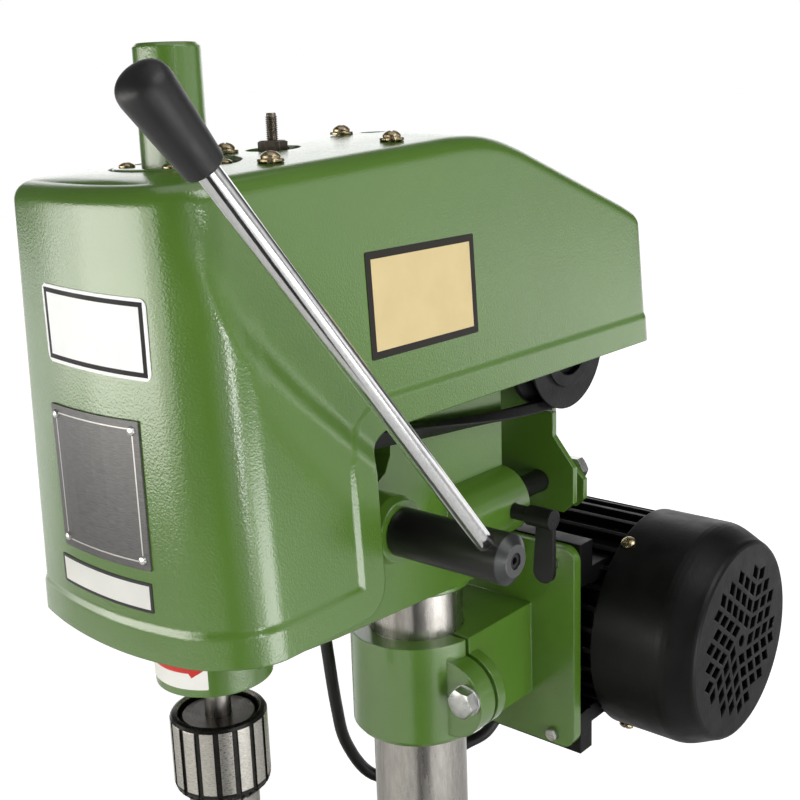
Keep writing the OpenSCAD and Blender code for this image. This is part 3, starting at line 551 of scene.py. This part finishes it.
# Hood: the solid's outline with a finer skin, the raised rim band and the fold on its right front.
# The rim steps up at RIM_Y from its low front to its high rear.
RIM_LO, RIM_HI, RIM_Y, RIM_R = 134.5, 210.5, -95.0, 14.0
BAND_H, BAND_W, BAND_SOFT = 0.9, 14.1, 1.8
HOOD_FRONT, HOOD_BACK, HOOD_W, DRAFT, REAR_LEAN, WALL = 189.0, 144.5, 57.6, 0.048, 0.065, 4.0
EDGE_R, REAR_R = 8.0, 11.0
# Corner radius, bow of the front and flare below FLARE_Z of each side.
RIGHT, LEFT = (32.0, 0.00367, 0.0), (12.0, 0.0025, 0.02)
FLARE_Z = 320.0
# Roof: heights at the column's axis and slopes of its two planes, the rounded ridge between them, the crown.
FRONT_ROOF, REAR_ROOF = (330.3, 0.055), (333.0, -0.38)
RIDGE_Y, RIDGE_HALF, RIDGE_CUT, CROWN = 6.0, 20.0, 2.2, 2.0
# Fold: its line as (y, z), its rise, half its width and the heights where it fades out.
FOLD = np.array([(-176, 306), (-172, 294), (-166, 279), (-157, 262), (-133, 237), (-104.5, 211),
                 (-92, 200)], float)
FOLD_RISE, FOLD_HALF, FOLD_FADE = 3.4, 5.5, (305.0, 280.0)
# Beside the rim's step the skin's rows lie level between these heights.
STEP_LO, STEP_HI = 217.5, 229.0
ROOF_CUT = (300, 345)
STUD_AT = (2, -86)


def rim_height(y):
    """Height of the open edge."""
    if y <= RIM_Y - RIM_R:
        return RIM_LO
    if y <= RIM_Y:
        return RIM_LO + RIM_R - math.sqrt(max(0.0, RIM_R ** 2 - (y - RIM_Y + RIM_R) ** 2))
    if y <= RIM_Y + RIM_R:
        return RIM_HI - RIM_R + math.sqrt(max(0.0, RIM_R ** 2 - (y - RIM_Y - RIM_R) ** 2))
    return RIM_HI


def rim_distance(y, z):
    """Distance of a point on the side from the open edge below it."""
    near = []
    if y <= RIM_Y - RIM_R:
        near.append(z - RIM_LO)
    elif z < RIM_LO + RIM_R and y <= RIM_Y:
        near.append(RIM_R - math.hypot(y - RIM_Y + RIM_R, z - RIM_LO - RIM_R))
    if RIM_LO + RIM_R <= z <= RIM_HI - RIM_R:
        near.append(RIM_Y - y)
    if z > RIM_HI - RIM_R and y < RIM_Y + RIM_R:
        near.append(math.hypot(y - RIM_Y - RIM_R, z - RIM_HI + RIM_R) - RIM_R)
    if y >= RIM_Y + RIM_R:
        near.append(z - RIM_HI)
    return max(0.0, min(near))


def roof_height(y):
    planes = [height + slope * y for height, slope in (FRONT_ROOF, REAR_ROOF)]
    return min(planes) - RIDGE_CUT * max(0.0, 1.0 - abs(y - RIDGE_Y) / RIDGE_HALF)


def soft_roof(y):
    return sum(roof_height(y + d) for d in (-9, -6, -3, 0, 3, 6, 9)) / 7.0


def fold_rise(y, z):
    """How far the skirt below the fold stands out."""
    best, side = 1e9, 1.0
    for a, b in zip(FOLD[:-1], FOLD[1:]):
        d = b - a
        t = min(1.0, max(0.0, ((y - a[0]) * d[0] + (z - a[1]) * d[1]) / (d @ d)))
        off = (y - a[0] - t * d[0], z - a[1] - t * d[1])
        far = math.hypot(*off)
        if far < best:
            best, side = far, 1.0 if d[0] * off[1] - d[1] * off[0] < 0 else -1.0
    return FOLD_RISE * smooth(-FOLD_HALF, FOLD_HALF, best * side) * smooth(*FOLD_FADE, z)


# A station is a stretch of half the plan and a place on it: a share of the stretch, or y on the side.
FACE, CORNER, SIDE, REAR_CORNER, REAR = range(5)


def side_stations(start, end, count):
    return [(SIDE, y) for y in np.linspace(start, end, count)]


STATIONS = ([(FACE, i / 18) for i in range(19)] + [(CORNER, i / 22) for i in range(1, 23)]
            + side_stations(-148, -113, 16) + side_stations(-112, -106, 15)
            + side_stations(-105, RIM_Y - 0.02, 9) + side_stations(RIM_Y + 0.02, -90, 9)
            + side_stations(-89, -80, 7) + side_stations(-76, 120, 46)
            + [(REAR_CORNER, i / 10) for i in range(11)] + [(REAR, i / 6) for i in range(1, 7)])


def hood_plan(station, z, inset, side):
    """Point of a station at a height, and the outward normal there, as x, y, nx and ny."""
    stretch, value = station
    corner, bow, flare = side
    w = HOOD_W + (RIM_HI - z) * DRAFT + flare * (FLARE_Z - z) - inset
    rc, rr = corner - inset, REAR_R - inset
    front, back = -HOOD_FRONT + inset, HOOD_BACK - (z - RIM_HI) * REAR_LEAN - inset
    a0 = -math.pi / 2 + math.atan(2 * bow * (w - rc * 0.75))
    wf = w - rc * (1.0 - math.cos(a0))
    if stretch == FACE:
        x = wf * value
        m = 2 * bow * x
        n = math.hypot(m, 1.0)
        return x, front + bow * x * x, m / n, -1.0 / n
    if stretch == CORNER:
        a = a0 * (1.0 - value)
        return (w - rc + rc * math.cos(a), front + bow * wf * wf - rc * math.sin(a0) + rc * math.sin(a),
                math.cos(a), math.sin(a))
    if stretch == SIDE:
        return w, value, 1.0, 0.0
    if stretch == REAR_CORNER:
        a = math.pi / 2 * value
        return w - rr + rr * math.cos(a), back - rr + rr * math.sin(a), math.cos(a), math.sin(a)
    return (w - rr) * (1.0 - value), back, 0.0, 1.0


def row_heights(y, top, lows, counts):
    """Heights of a column's rows: lows over the rim, then counts of even rows up to the roof's edge."""
    bottom = rim_height(y)
    if y <= RIM_Y:
        heights = [bottom + v for v in lows]
        first = RIM_HI - RIM_R + 1.75
    else:
        heights = [bottom + 0.9 * k / len(lows) for k in range(len(lows))]
        first = bottom + 1.0
    for stop, count in zip((first, STEP_LO, STEP_HI, top), counts):
        heights += [float(z) for z in np.linspace(heights[-1], stop, count + 1)[1:]]
    return heights


def hood_column(station, side, inset, lows, counts, turns):
    """Points of one station from the rim up over the rounded edge of the roof."""
    y_mid = hood_plan(station, 260.0, inset, side)[1]
    top = soft_roof(y_mid) - inset - EDGE_R
    stretch, value = station
    reach = {CORNER: smooth(0.3, 0.95, value), SIDE: 1.0}.get(stretch, 0.0) if side is RIGHT else 0.0
    line = []
    for z in row_heights(y_mid, top, lows, counts):
        x, y, nx, ny = hood_plan(station, z, inset, side)
        out = 0.0
        if inset == 0.0:
            out = BAND_H * smooth(BAND_W + BAND_SOFT, BAND_W - BAND_SOFT, rim_distance(y, z))
        if reach:
            out += reach * fold_rise(y, z)
        line.append((x + nx * out, y + ny * out, z))
    x, y, nx, ny = hood_plan(station, top, inset, side)
    for k in range(1, turns + 1):
        a = math.pi / 2 * k / turns
        c = EDGE_R * (1.0 - math.cos(a))
        line.append((x - nx * c, y - ny * c, top + EDGE_R * math.sin(a)))
    return line


def grid_faces(rows, count, closed=False):
    """Quads between rows of count points each."""
    faces = []
    for j in range(rows - 1):
        for i in range(count if closed else count - 1):
            a, b = j * count + i, j * count + (i + 1) % count
            faces.append([a, b, b + count, a + count])
    return faces


def hood_skin(shape, inset, lows, counts, turns, roof_steps):
    """Adds one skin with its roof and returns the indices of its rim."""
    right = [hood_column(s, RIGHT, inset, lows, counts, turns) for s in STATIONS]
    left = [[(-x, y, z) for x, y, z in hood_column(s, LEFT, inset, lows, counts, turns)] for s in STATIONS]
    loop = right + left[-2:0:-1]
    rows, count = len(right[0]), len(loop)
    start = len(shape.points)
    shape.add([column[j] for j in range(rows) for column in loop], grid_faces(rows, count, closed=True))
    shares = [k / roof_steps - 1.0 for k in range(2 * roof_steps + 1)]
    across = []
    for r, l in zip((column[-1] for column in right), (column[-1] for column in left)):
        bulge = CROWN * min(1.0, r[0] / 40.0)
        for share in shares:
            x, y, z = r if share < 0 else l
            w = abs(share)
            across.append((x * w, r[1] + (y - r[1]) * w, r[2] + (z - r[2]) * w + bulge * (1 - w * w)))
    shape.add(across, grid_faces(len(STATIONS), len(shares)))
    return [start + i for i in range(count)]


def hood_cutter():
    """Holes for the post, the stud and one more in the roof, and the countershaft's notch on the left."""
    cuts = Shape()
    for radius, x, y, count in ((26.6, 0, -THROAT, 96), (12.0, *STUD_AT, 40), (6.0, -2, -17, 40)):
        cuts.lathe([(radius, z) for z in ROOF_CUT], at(x, y, 0), count)
    notch_r, notch_y, notch_z = 14, 85.5, 217.5
    notch = [(notch_r * math.cos(a), notch_r * math.sin(a)) for a in np.linspace(0, math.pi, 17)]
    notch += [(-notch_r, -20), (notch_r, -20)]
    cuts.rings([[(x, notch_y + u, notch_z + v + HEAD_Z) for u, v in notch] for x in (-75, -48)])
    return cuts.make("hood_cuts", None, SPECIAL["hood"], 35)


def make_hood():
    skin = Shape()
    lows = [0.0, 0.6, 2.0, 5.0, 8.0, 11.0, 12.2, 12.8, 13.4, 14.0, 14.6, 15.2, 15.8, 16.4, 18.0]
    outer = hood_skin(skin, 0.0, lows, (10, 16, 20, 40), 8, 14)
    inner = hood_skin(skin, WALL, [0.0, 6.0], (3, 3, 3, 6), 3, 4)
    count = len(outer)
    for i in range(count):
        j = (i + 1) % count
        skin.faces.append([outer[i], outer[j], inner[j], inner[i]])
    skin.points = [Vector((p[0], p[1], p[2] + HEAD_Z)) for p in skin.points]
    hood = skin.make("hood_shell", None, SPECIAL["hood"], 40)
    cutter = hood_cutter()
    cut = hood.modifiers.new("cut", "BOOLEAN")
    cut.operation = "DIFFERENCE"
    cut.solver = "EXACT"
    cut.object = cutter
    bpy.context.view_layer.update()
    done = bpy.data.meshes.new_from_object(hood.evaluated_get(bpy.context.evaluated_depsgraph_get()))
    hood.modifiers.clear()
    hood.data = done
    bpy.data.objects.remove(cutter)
    done.shade_smooth()
    done.set_sharp_from_angle(angle=math.radians(38))
    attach(hood, "head")
    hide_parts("hood")


make_hood()


# Belts: smooth sweeps between the pulleys.
# Pitch radii and places of the spindle's and the countershaft's pulleys, of the step pulleys and the motor.
SP_R, CP_R, PULLEY_Z, SHAFT_Y, SHAFT_Z, CP_X = 35.0, 31.0, 203.0, 82.5, 215.5, 35.0
STEP_R, STEP_X, MOTOR_Y, MOTOR_Z = 36.0, -90.0, 124.5, 53.0
OVER_BENCH = Vector((0, 0, HEAD_Z))


def belt_ring(point, outward, across, half, top, deep):
    """Section of a V-belt: narrow inside, crowned outside."""
    section = [(top, -0.46), (top + 0.25, -0.2), (top + 0.25, 0.2), (top, 0.46), (top - 0.8, 0.5),
               (top - deep + 0.6, 0.31), (top - deep, 0.26), (top - deep, -0.26), (top - deep + 0.6, -0.31),
               (top - 0.8, -0.5)]
    return [point + outward * u + across * (v * 2 * half) for u, v in section]


def belt_piece(name, node, lines):
    shape = Shape()
    shape.rings(lines + [lines[0]], Matrix.Translation(OVER_BENCH), caps=False)
    return shape.make(name, None, MATERIALS["belt_rubber"], 30, (node,))


def make_twist_belt():
    turns, runs = 28, 40
    bp, bc = Vector((0, -THROAT, PULLEY_Z)), Vector((CP_X, SHAFT_Y, SHAFT_Z))
    rings = []

    def way(a, b, f):
        g = smooth(0.0, 1.0, f)
        return Vector((a.x + (b.x - a.x) * g, a.y + (b.y - a.y) * f, a.z + (b.z - a.z) * g))

    for i in range(turns + 1):
        a = -math.pi / 2 + math.pi * i / turns
        n = Vector((0, math.cos(a), math.sin(a)))
        rings.append((bc + n * CP_R, n, Vector((1, 0, 0))))
    for i in range(1, runs):
        f = i / runs
        g = math.pi / 2 * smooth(0.0, 1.0, f)
        rings.append((way(bc + Vector((0, 0, CP_R)), bp - Vector((SP_R, 0, 0)), f),
                      Vector((-math.sin(g), 0, math.cos(g))), Vector((math.cos(g), 0, math.sin(g)))))
    for i in range(turns + 1):
        a = math.pi + math.pi * i / turns
        n = Vector((math.cos(a), math.sin(a), 0))
        rings.append((bp + n * SP_R, n, Vector((0, 0, 1))))
    for i in range(1, runs):
        f = i / runs
        g = math.pi / 2 * smooth(0.0, 1.0, f)
        rings.append((way(bp + Vector((SP_R, 0, 0)), bc - Vector((0, 0, CP_R)), f),
                      Vector((math.cos(g), 0, -math.sin(g))), Vector((math.sin(g), 0, math.cos(g)))))
    lines = [belt_ring(p, n, b, 4.5, 1.8, 5.0) for p, n, b in rings]
    belt = belt_piece("twist_belt_rubber", "twist_belt", lines)
    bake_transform(belt)


def make_motor_belt():
    turns = 24
    top, low = Vector((STEP_X, SHAFT_Y, SHAFT_Z)), Vector((STEP_X, MOTOR_Y, MOTOR_Z))
    d = (low - top).normalized()
    e = Vector((0, -d.z, d.y))
    rings = []
    for centre, flip in ((top, -1), (low, 1)):
        for i in range(turns + 1):
            a = math.pi * i / turns
            n = e * (math.cos(a) * -flip) + d * (math.sin(a) * flip)
            rings.append((centre + n * STEP_R, n))
    lines = [belt_ring(p, n, Vector((1, 0, 0)), 2.8, 1.8, 4.6) for p, n in rings]
    belt = belt_piece("motor_belt_rubber", "motor_belt", lines)
    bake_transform(belt)


make_twist_belt()
make_motor_belt()


# Fasteners with turned chamfers, recesses and threads.
SCREW_AT = [(36, -120), (-8, -104), (-10, -30), (34, -45)]
COVER_X, COVER_R = 72.5, 62.0
FLANGE_LO, FLANGE_TOP, FLANGE_R, FLANGE_BORE, FLANGE_SCREW_R = 321.3, 323.9, 25.0, 17.2, 19.2
CLAMP_X, CLAMP_Y, CLAMP_Z = 45.0, -15.0, 51.5


def on_roof(x, y):
    return roof_height(y) + CROWN * max(0.0, 1.0 - abs(x) / 44.0)


def polar(radius, degrees):
    return radius * math.cos(math.radians(degrees)), radius * math.sin(math.radians(degrees))


def thread(r, z0, z1, pitch, depth):
    line = [(r - depth, z0)]
    z = z0
    while z + pitch < z1:
        line += [(r - depth, z + 0.12 * pitch), (r, z + 0.42 * pitch)]
        line += [(r, z + 0.58 * pitch), (r - depth, z + 0.9 * pitch)]
        z += pitch
    return line + [(r - depth, z1)]


def make_hood_screws():
    hood = Shape()
    for k, (x, y) in enumerate(SCREW_AT):
        z = on_roof(x, y)
        hood.lathe([(2.5, -12), (2.5, 0.4)], at(x, y, z), 24)
        hood.lathe([(5.3, 0.6), (5.4, 0.7), (5.4, 1.6), (5.2, 1.8)], at(x, y, z))
        hood.cross_head(4.0, 3.2, at(x, y, z + 1.7, turn=20 + 37 * k))
    hood.make("hood_screw_set", "head", MATERIALS["yellow_zinc"], 30, ("hood_screws",))


def make_cover_screws():
    cover = Shape()
    for k, a in enumerate((0, 119, 241)):
        out = Vector((0, *polar(1.0, a)))
        p = Vector((COVER_X, MOTOR_Y, MOTOR_Z)) + out * COVER_R
        cover.lathe([(2.0, -6), (2.0, 0.2)], at(*p, axis=out), 24)
        cover.cross_head(4.0, 2.5, at(*p, axis=out, turn=31 * k))
    cover.make("cover_screw_set", "head", MATERIALS["yellow_zinc"], 30, ("cover_screws",))


def make_flange():
    """Top of the post's flange, level with the hood's roof."""
    flange = Shape()
    flange.lathe([(FLANGE_BORE, FLANGE_LO), (FLANGE_R - 0.6, FLANGE_LO), (FLANGE_R, FLANGE_LO + 0.6),
                  (FLANGE_R, FLANGE_TOP - 0.8), (FLANGE_R - 0.2, FLANGE_TOP - 0.25),
                  (FLANGE_R - 0.8, FLANGE_TOP), (FLANGE_BORE, FLANGE_TOP)], at(0, -THROAT, 0))
    flange.make("post_flange_top", "head", MATERIALS["green_enamel"], 40)


def make_post_screws():
    post = Shape()
    for k, a in enumerate((45, 135, 225, 315)):
        x, y = polar(FLANGE_SCREW_R, a)
        post.cross_head(3.3, 2.0, at(x, y - THROAT, FLANGE_TOP, turn=15 + 40 * k))
    post.make("post_screw_set", "head", MATERIALS["yellow_zinc"], 30, ("post_screws",))


def make_stud():
    """Stud with a nut below the roof, and a washer and a nut on it."""
    stud = Shape()
    top = on_roof(*STUD_AT)
    seat = top - 1.4
    stud.lathe([(2.1, 306)] + thread(2.6, 307, top + 14.4, 0.9, 0.5) + [(1.9, top + 15)], at(*STUD_AT, 0))
    stud.hex_head(7.0, 5.0, at(*STUD_AT, 306.0))
    stud.lathe([(9.0, seat - 1.6), (9.1, seat - 1.4), (9.1, seat - 0.2), (8.9, seat)], at(*STUD_AT, 0))
    stud.hex_head(6.4, 5.0, at(*STUD_AT, seat, turn=14))
    stud.make("hood_stud_set", "head", MATERIALS["dull_steel"], 32, ("hood_stud",))


def make_clamp_bolt():
    pinch = Shape()
    seat = at(CLAMP_X, CLAMP_Y, CLAMP_Z, TO_FRONT)
    washer = 1.6
    pinch.lathe([(4.4, -20.4), (5.0, -19.6), (5.0, 0.0)], seat, 32)
    pinch.lathe([(8.1, 0.0), (8.2, 0.15), (8.2, washer - 0.2), (8.0, washer)], seat)
    pinch.hex_head(7.9, 5.8, at(CLAMP_X, CLAMP_Y - washer, CLAMP_Z, TO_FRONT, 22))
    pinch.make("clamp_bolt_set", "head", MATERIALS["zinc_steel"], 32, ("clamp_bolt",))


def hex_bolts(name, body, node, shank, head, spots):
    """Hexagon bolts with their heads to the back, at spots of x, y, z and the head's turn."""
    bolts = Shape()
    for x, y, z, turn in spots:
        bolts.lathe(shank, at(x, y, z, TO_BACK), 32)
        bolts.hex_head(*head, at(x, y, z, TO_BACK, turn))
    bolts.make(name, body, MATERIALS["zinc_steel"], 32, (node,))


make_hood_screws()
make_cover_screws()
make_flange()
make_post_screws()
make_stud()
make_clamp_bolt()
hex_bolts("bracket_bolt_set", "bracket", "bracket_bolts", [(4.0, -12.5), (4.0, 0.0)], (7.5, 6.0),
          [(39.2 * s, 90, 144, 8 + 20 * s) for s in (-1, 1)])
hex_bolts("head_bolt_set", "head", "head_bolts", [(4.0, -12.0), (4.0, 0.0)], (7.5, 5.5),
          [(x, 38.5, 118, 10 + x) for x in (-8, 8)])
hex_bolts("motor_bolt_set", "head", "motor_bolts", [(2.9, -18.0), (3.5, -17.4), (3.5, 0.0)], (5.8, 4.3),
          [(x, 69.7, MOTOR_Z + 50 * s, x) for x in (49.5, -30.5) for s in (-1, 1)])
hex_bolts("base_bolt_set", "base", "base_bolts", [(5.0, -17.0), (5.0, 0.0)], (9.2, 7.0),
          [(0, 45, z - HEAD_Z, z) for z in (66, 82)])


# Lever grip with a smooth taper and a round end.
LEVER_AT, LEVER_L, LEVER_TILT = (101.4, -66.5, 158.0), 261.0, 50.1
GRIP_L, GRIP_SMALL, GRIP_BIG, GRIP_CAP, GRIP_BORE = 37.5, 7.2, 9.1, 7.4, 4.1


def make_grip():
    tilt = math.radians(LEVER_TILT)
    axis = Vector((0, -math.cos(tilt), math.sin(tilt)))
    start = Vector(LEVER_AT) + axis * (LEVER_L - GRIP_L)
    rim, tapers, turns, fullness = 1.4, 16, 18, 0.77
    shoulder = GRIP_L - GRIP_CAP
    line = [(GRIP_BORE, 0.0), (GRIP_SMALL - 0.9, 0.0), (GRIP_SMALL - 0.35, 0.25), (GRIP_SMALL, 0.9)]
    for k in range(tapers + 1):
        f = k / tapers
        line.append((GRIP_SMALL + (GRIP_BIG - GRIP_SMALL) * f, rim + (shoulder - rim) * f))
    for k in range(1, turns):
        a = math.pi / 2 * k / turns
        line.append((GRIP_BIG * math.cos(a) ** fullness, shoulder + GRIP_CAP * math.sin(a) ** fullness))
    line.append((0.05, GRIP_L))
    grip = Shape()
    grip.lathe(line, at(*start, axis=axis), 72)
    grip.make("lever_grip_knob", "lever", MATERIALS["black_plastic"], 50, ("lever_grip",))


make_grip()


# Labels: thin plates that lie on the hood and the nose, left blank but for an arrow on the nose.
# A box is (u from, u to, v from, v to); u runs along x, y or the nose's degrees, and v is the height.
NOSE_R = 25.8
FRONT_LEAN = 0.035
INK = srgb(10, 10, 10)


def printed(name, paper, frame_line=None):
    """Label's material. frame_line gives its axis, box, lean, (from, to) inside the edge and colour."""
    s = Surface(name, 0.0002)
    base = s.mottle(s.noise(60.0, 4.0), tint(paper, 0.95), tint(paper, 1.03))
    scuff = s.spread(s.noise(220.0, 4.0, 0.7), 0.66, 0.74, 0.0, 0.18)
    base = s.mix(scuff, base, tint(paper, 0.7))
    if frame_line:
        axis, (u0, u1, v0, v1), lean, (near, far), color = frame_line
        parts = s.split()
        level = s.math("ADD", parts[2], s.math("MULTIPLY", parts[axis], lean))
        middle, half = ((u0 + u1) / 2, HEAD_Z + (v0 + v1) / 2), ((u1 - u0) / 2, (v1 - v0) / 2)
        line = s.within(s.off_rectangle((parts[axis], level), middle, half), -far, -near)
        base = s.mix(line, base, color)
    s.set(Base_Color=base, Specular_IOR_Level=0.15, Roughness=s.wander(s.noise(90.0, 3.0), 0.3, 0.45))
    s.bump(s.noise(300.0, 2.0), 0.00002)
    return s.done()


def thin_plate(name, surface, box, corner, material, thick=0.35):
    """Plate with round corners; surface(u, v, lift) gives a point lift millimetres off the carrier."""
    u0, u1, v0, v1 = box
    steps = 24
    spots = [corner * share for share in (0.0, 0.08, 0.25, 0.55, 1.0)]
    vs = {v0 + s for s in spots} | {v1 - s for s in spots} | set(np.linspace(v0 + corner, v1 - corner, 7))
    grid = []
    for v in sorted(vs):
        d = min(v - v0, v1 - v)
        inset = corner - math.sqrt(max(0.0, corner ** 2 - (corner - d) ** 2)) if d < corner else 0.0
        grid += [(u0 + inset + (u1 - u0 - 2 * inset) * k / steps, v) for k in range(steps + 1)]
    n, m = steps + 1, len(vs)
    outer = grid_faces(m, n)
    inner = [[n * m + i for i in face[::-1]] for face in outer]
    ring = list(range(n)) + [j * n + n - 1 for j in range(1, m)]
    ring += [(m - 1) * n + i for i in range(n - 2, -1, -1)] + [j * n for j in range(m - 2, 0, -1)]
    sides = [[b, a, n * m + a, n * m + b] for a, b in zip(ring, ring[1:] + ring[:1])]
    shape = Shape()
    shape.add([surface(u, v, lift) for lift in (thick, 0.02) for u, v in grid], outer + inner + sides)
    return shape.make(name, "head", material, 40)


def on_front(u, v, lift):
    bow = (LEFT if u < 0 else RIGHT)[1]
    return (u, -HOOD_FRONT + bow * u * u - lift, v + HEAD_Z)


def on_front_leaned(u, v, lift):
    return on_front(u, v - FRONT_LEAN * u, lift)


def on_side(u, v, lift):
    return (HOOD_W + (RIM_HI - v) * DRAFT + lift, u, v + HEAD_Z)


def on_nose(u, v, lift):
    x, y = polar(NOSE_R + lift, u)
    return (x, y - THROAT, v + HEAD_Z)


def make_labels():
    front, lower = (-26.9, 34.1, 249.8, 281), (-33.6, 25.4, 155, 167.5)
    side, nose = (-88, -15, 241, 286), (205, 313.5, 107.5, 125)
    thin_plate("front_label", on_front_leaned, front, 3.0,
               printed("front_label", srgb(250, 251, 254), (0, front, FRONT_LEAN, (1.4, 3.3), INK)))
    thin_plate("lower_label", on_front, lower, 0.6,
               printed("lower_label", srgb(222, 222, 218), (0, lower, 0.0, (-1.0, 1.3), srgb(58, 58, 60))))
    thin_plate("side_label", on_side, side, 0.8,
               printed("side_label", srgb(214, 195, 146), (1, side, 0.0, (-1.0, 3.2), srgb(46, 43, 40))))
    thin_plate("nose_label", on_nose, nose, 0.8, printed("nose_label", srgb(236, 236, 232)), thick=0.2)


def make_arrow():
    start, neck, tip, level, shaft_half, head_half, steps = 222, 296, 312, 117.0, 2.1, 4.6, 32
    us = [start + (tip - start) * k / steps for k in range(steps + 1)]
    lines = [(u, shaft_half if u < neck else head_half * (tip - u) / (tip - neck)) for u in us]
    ring = [(u, level + h) for u, h in lines] + [(u, level - h) for u, h in lines[::-1]]
    count = len(ring)
    faces = [[i, i + 1, count - 2 - i, count - 1 - i] for i in range(steps)]
    faces += [[count + f for f in face[::-1]] for face in faces]
    faces += [[i, (i + 1) % count, count + (i + 1) % count, count + i] for i in range(count)]
    arrow = Shape()
    arrow.add([on_nose(u, v, lift) for lift in (0.3, 0.15) for u, v in ring], faces)
    arrow.make("nose_arrow", "head", plastic("arrow_red", srgb(206, 40, 30), 0.4), 40)


make_labels()
make_arrow()


# Stage: pale floor, white background, a dark cloth on the camera side and soft boxes, in metres.
AHEAD = (-0.656, 0.755, 0.0)
TO_RIGHT = (0.86, 0.51, 0.0)
WARM, WHITE = (1.0, 0.98, 0.92), (1.0, 1.0, 1.0)


def seen_by(tree, *rays):
    """1 for the named kinds of ray."""
    path = tree.add("LightPath")
    value = path["Is " + rays[0] + " Ray"]
    for ray in rays[1:]:
        value = tree.math("MAXIMUM", value, path["Is " + ray + " Ray"])
    return value


def stage_mesh(name, points, faces, color):
    """Piece of the stage, with the nodes and the shader of its dull material."""
    mesh = bpy.data.meshes.new(name)
    mesh.from_pydata(points, [], faces)
    piece = put(name, mesh)
    material = bpy.data.materials.new(name)
    material.use_nodes = True
    mesh.materials.append(material)
    shader = material.node_tree.nodes["Principled BSDF"]
    shader.inputs["Base Color"].default_value = color
    shader.inputs["Specular IOR Level"].default_value = 0.1
    return piece, Nodes(material.node_tree), shader


def make_floor():
    size = 6.0
    corners = [(-size, -size, 0), (size, -size, 0), (size, size, 0), (-size, size, 0)]
    tree, shader = stage_mesh("floor", corners, [(0, 1, 2, 3)], (0.78, 0.78, 0.78, 1))[1:]
    shader.inputs["Roughness"].default_value = 0.9
    where = tree.add("TexCoord")["Object"]
    far = tree.add("VectorMath", {0: where}, operation="LENGTH")["Value"]
    behind = tree.spread(tree.dot(where, AHEAD), 0.3, 0.8)
    shown = tree.math("MAXIMUM", seen_by(tree, "Camera", "Transmission"),
                      tree.math("MULTIPLY", seen_by(tree, "Glossy"), behind))
    strength = tree.math("MULTIPLY", shown, tree.spread(far, 0.5, 2.0, 0.62, 1.0))
    glow = tree.add("Emission", {"Color": (1, 1, 1, 1), "Strength": strength})[0]
    both = tree.add("AddShader", {0: shader.outputs[0], 1: glow})[0]
    tree.feed(tree.tree.nodes["Material Output"].inputs["Surface"], both)


def make_cloth():
    """Dark cloth in front of the object and behind the camera, which only polished surfaces show."""
    out, side = Vector((0.8, -0.6, 0.0)), Vector((0.6, 0.8, 0.0))
    start = Vector((0.02, -0.1, 0.004))
    points = []
    for far, half, z in ((0.3, 0.1, 0.0), (1.15, 0.4, 0.0), (1.25, 0.42, 0.8)):
        points += [start + out * far + side * (half * s) + Vector((0, 0, z)) for s in (-1, 1)]
    cloth = stage_mesh("dark_cloth", points, [(0, 1, 3, 2), (2, 3, 5, 4)], (0.03, 0.03, 0.03, 1))[0]
    cloth.visible_camera = False
    cloth.visible_diffuse = False
    cloth.visible_shadow = False


def make_world():
    """White for the camera, a dim even light, and a bright rear and right wall in the reflections."""
    world = bpy.data.worlds.new("studio")
    world.use_nodes = True
    tree = Nodes(world.node_tree)
    where = tree.add("TexCoord")["Generated"]
    wall = tree.spread(tree.dot(where, AHEAD), 0.75, 0.95)
    low = tree.spread(tree.add("SeparateXYZ", {0: where})[2], 0.02, 0.2, 1.0, 0.0)
    side = tree.math("MULTIPLY", tree.spread(tree.dot(where, TO_RIGHT), 0.75, 0.9, 0.0, 0.6), low)
    room = tree.math("MAXIMUM", tree.math("MAXIMUM", wall, side), 0.08)
    lit = tree.choose(seen_by(tree, "Glossy", "Transmission"), 0.14, room)
    shade = world.node_tree.nodes["Background"]
    tree.feed(shade.inputs["Color"], (1, 1, 1, 1))
    tree.feed(shade.inputs["Strength"], tree.choose(seen_by(tree, "Camera"), lit, 1.0))
    scene.world = world


def soft_box(name, place, aim, width, height, watts, roll=0.0, color=WHITE):
    data = bpy.data.lights.new(name, "AREA")
    data.shape = "RECTANGLE"
    data.size, data.size_y, data.energy = width, height, watts
    data.color = color
    lamp = put(name, data)
    lamp.matrix_world = (Matrix.Translation(place)
                         @ (Vector(aim) - Vector(place)).to_track_quat("-Z", "Y").to_matrix().to_4x4()
                         @ Matrix.Rotation(math.radians(roll), 4, "Z"))
    lamp.visible_camera = False


make_floor()
make_cloth()
make_world()
soft_box("left_wide", (-0.427, -1.13, 0.46), (0.0, -0.19, 0.5), 1.93, 0.52, 7.0, color=WARM)
soft_box("left_core", (-0.48, -1.13, 0.47), (0.0, -0.19, 0.5), 1.05, 0.52, 3.6, color=WARM)
soft_box("right_strip", (1.32, -0.62, 0.25), (0.05, -0.16, 0.46), 0.34, 0.64, 8.0, -24)
soft_box("right_low", (0.98, 0.1, 0.12), (0.0, -0.05, 0.45), 0.6, 0.35, 2.4)
soft_box("right_back", (1.0, 0.75, 0.35), (0.05, -0.1, 0.45), 1.4, 1.2, 1.4)
soft_box("right_top", (1.1, 0.1, 1.6), (0.0, 0.0, 0.5), 1.0, 1.0, 11.0)
soft_box("back", (-1.1, 1.3, 1.0), (0.0, 0.0, 0.55), 2.4, 0.9, 4.0)
soft_box("overhead", (0.1, 0.1, 2.3), (0.0, 0.0, 0.4), 1.6, 1.6, 5.0)

scene.view_settings.view_transform = "Standard"

bpy.context.view_layer.update()
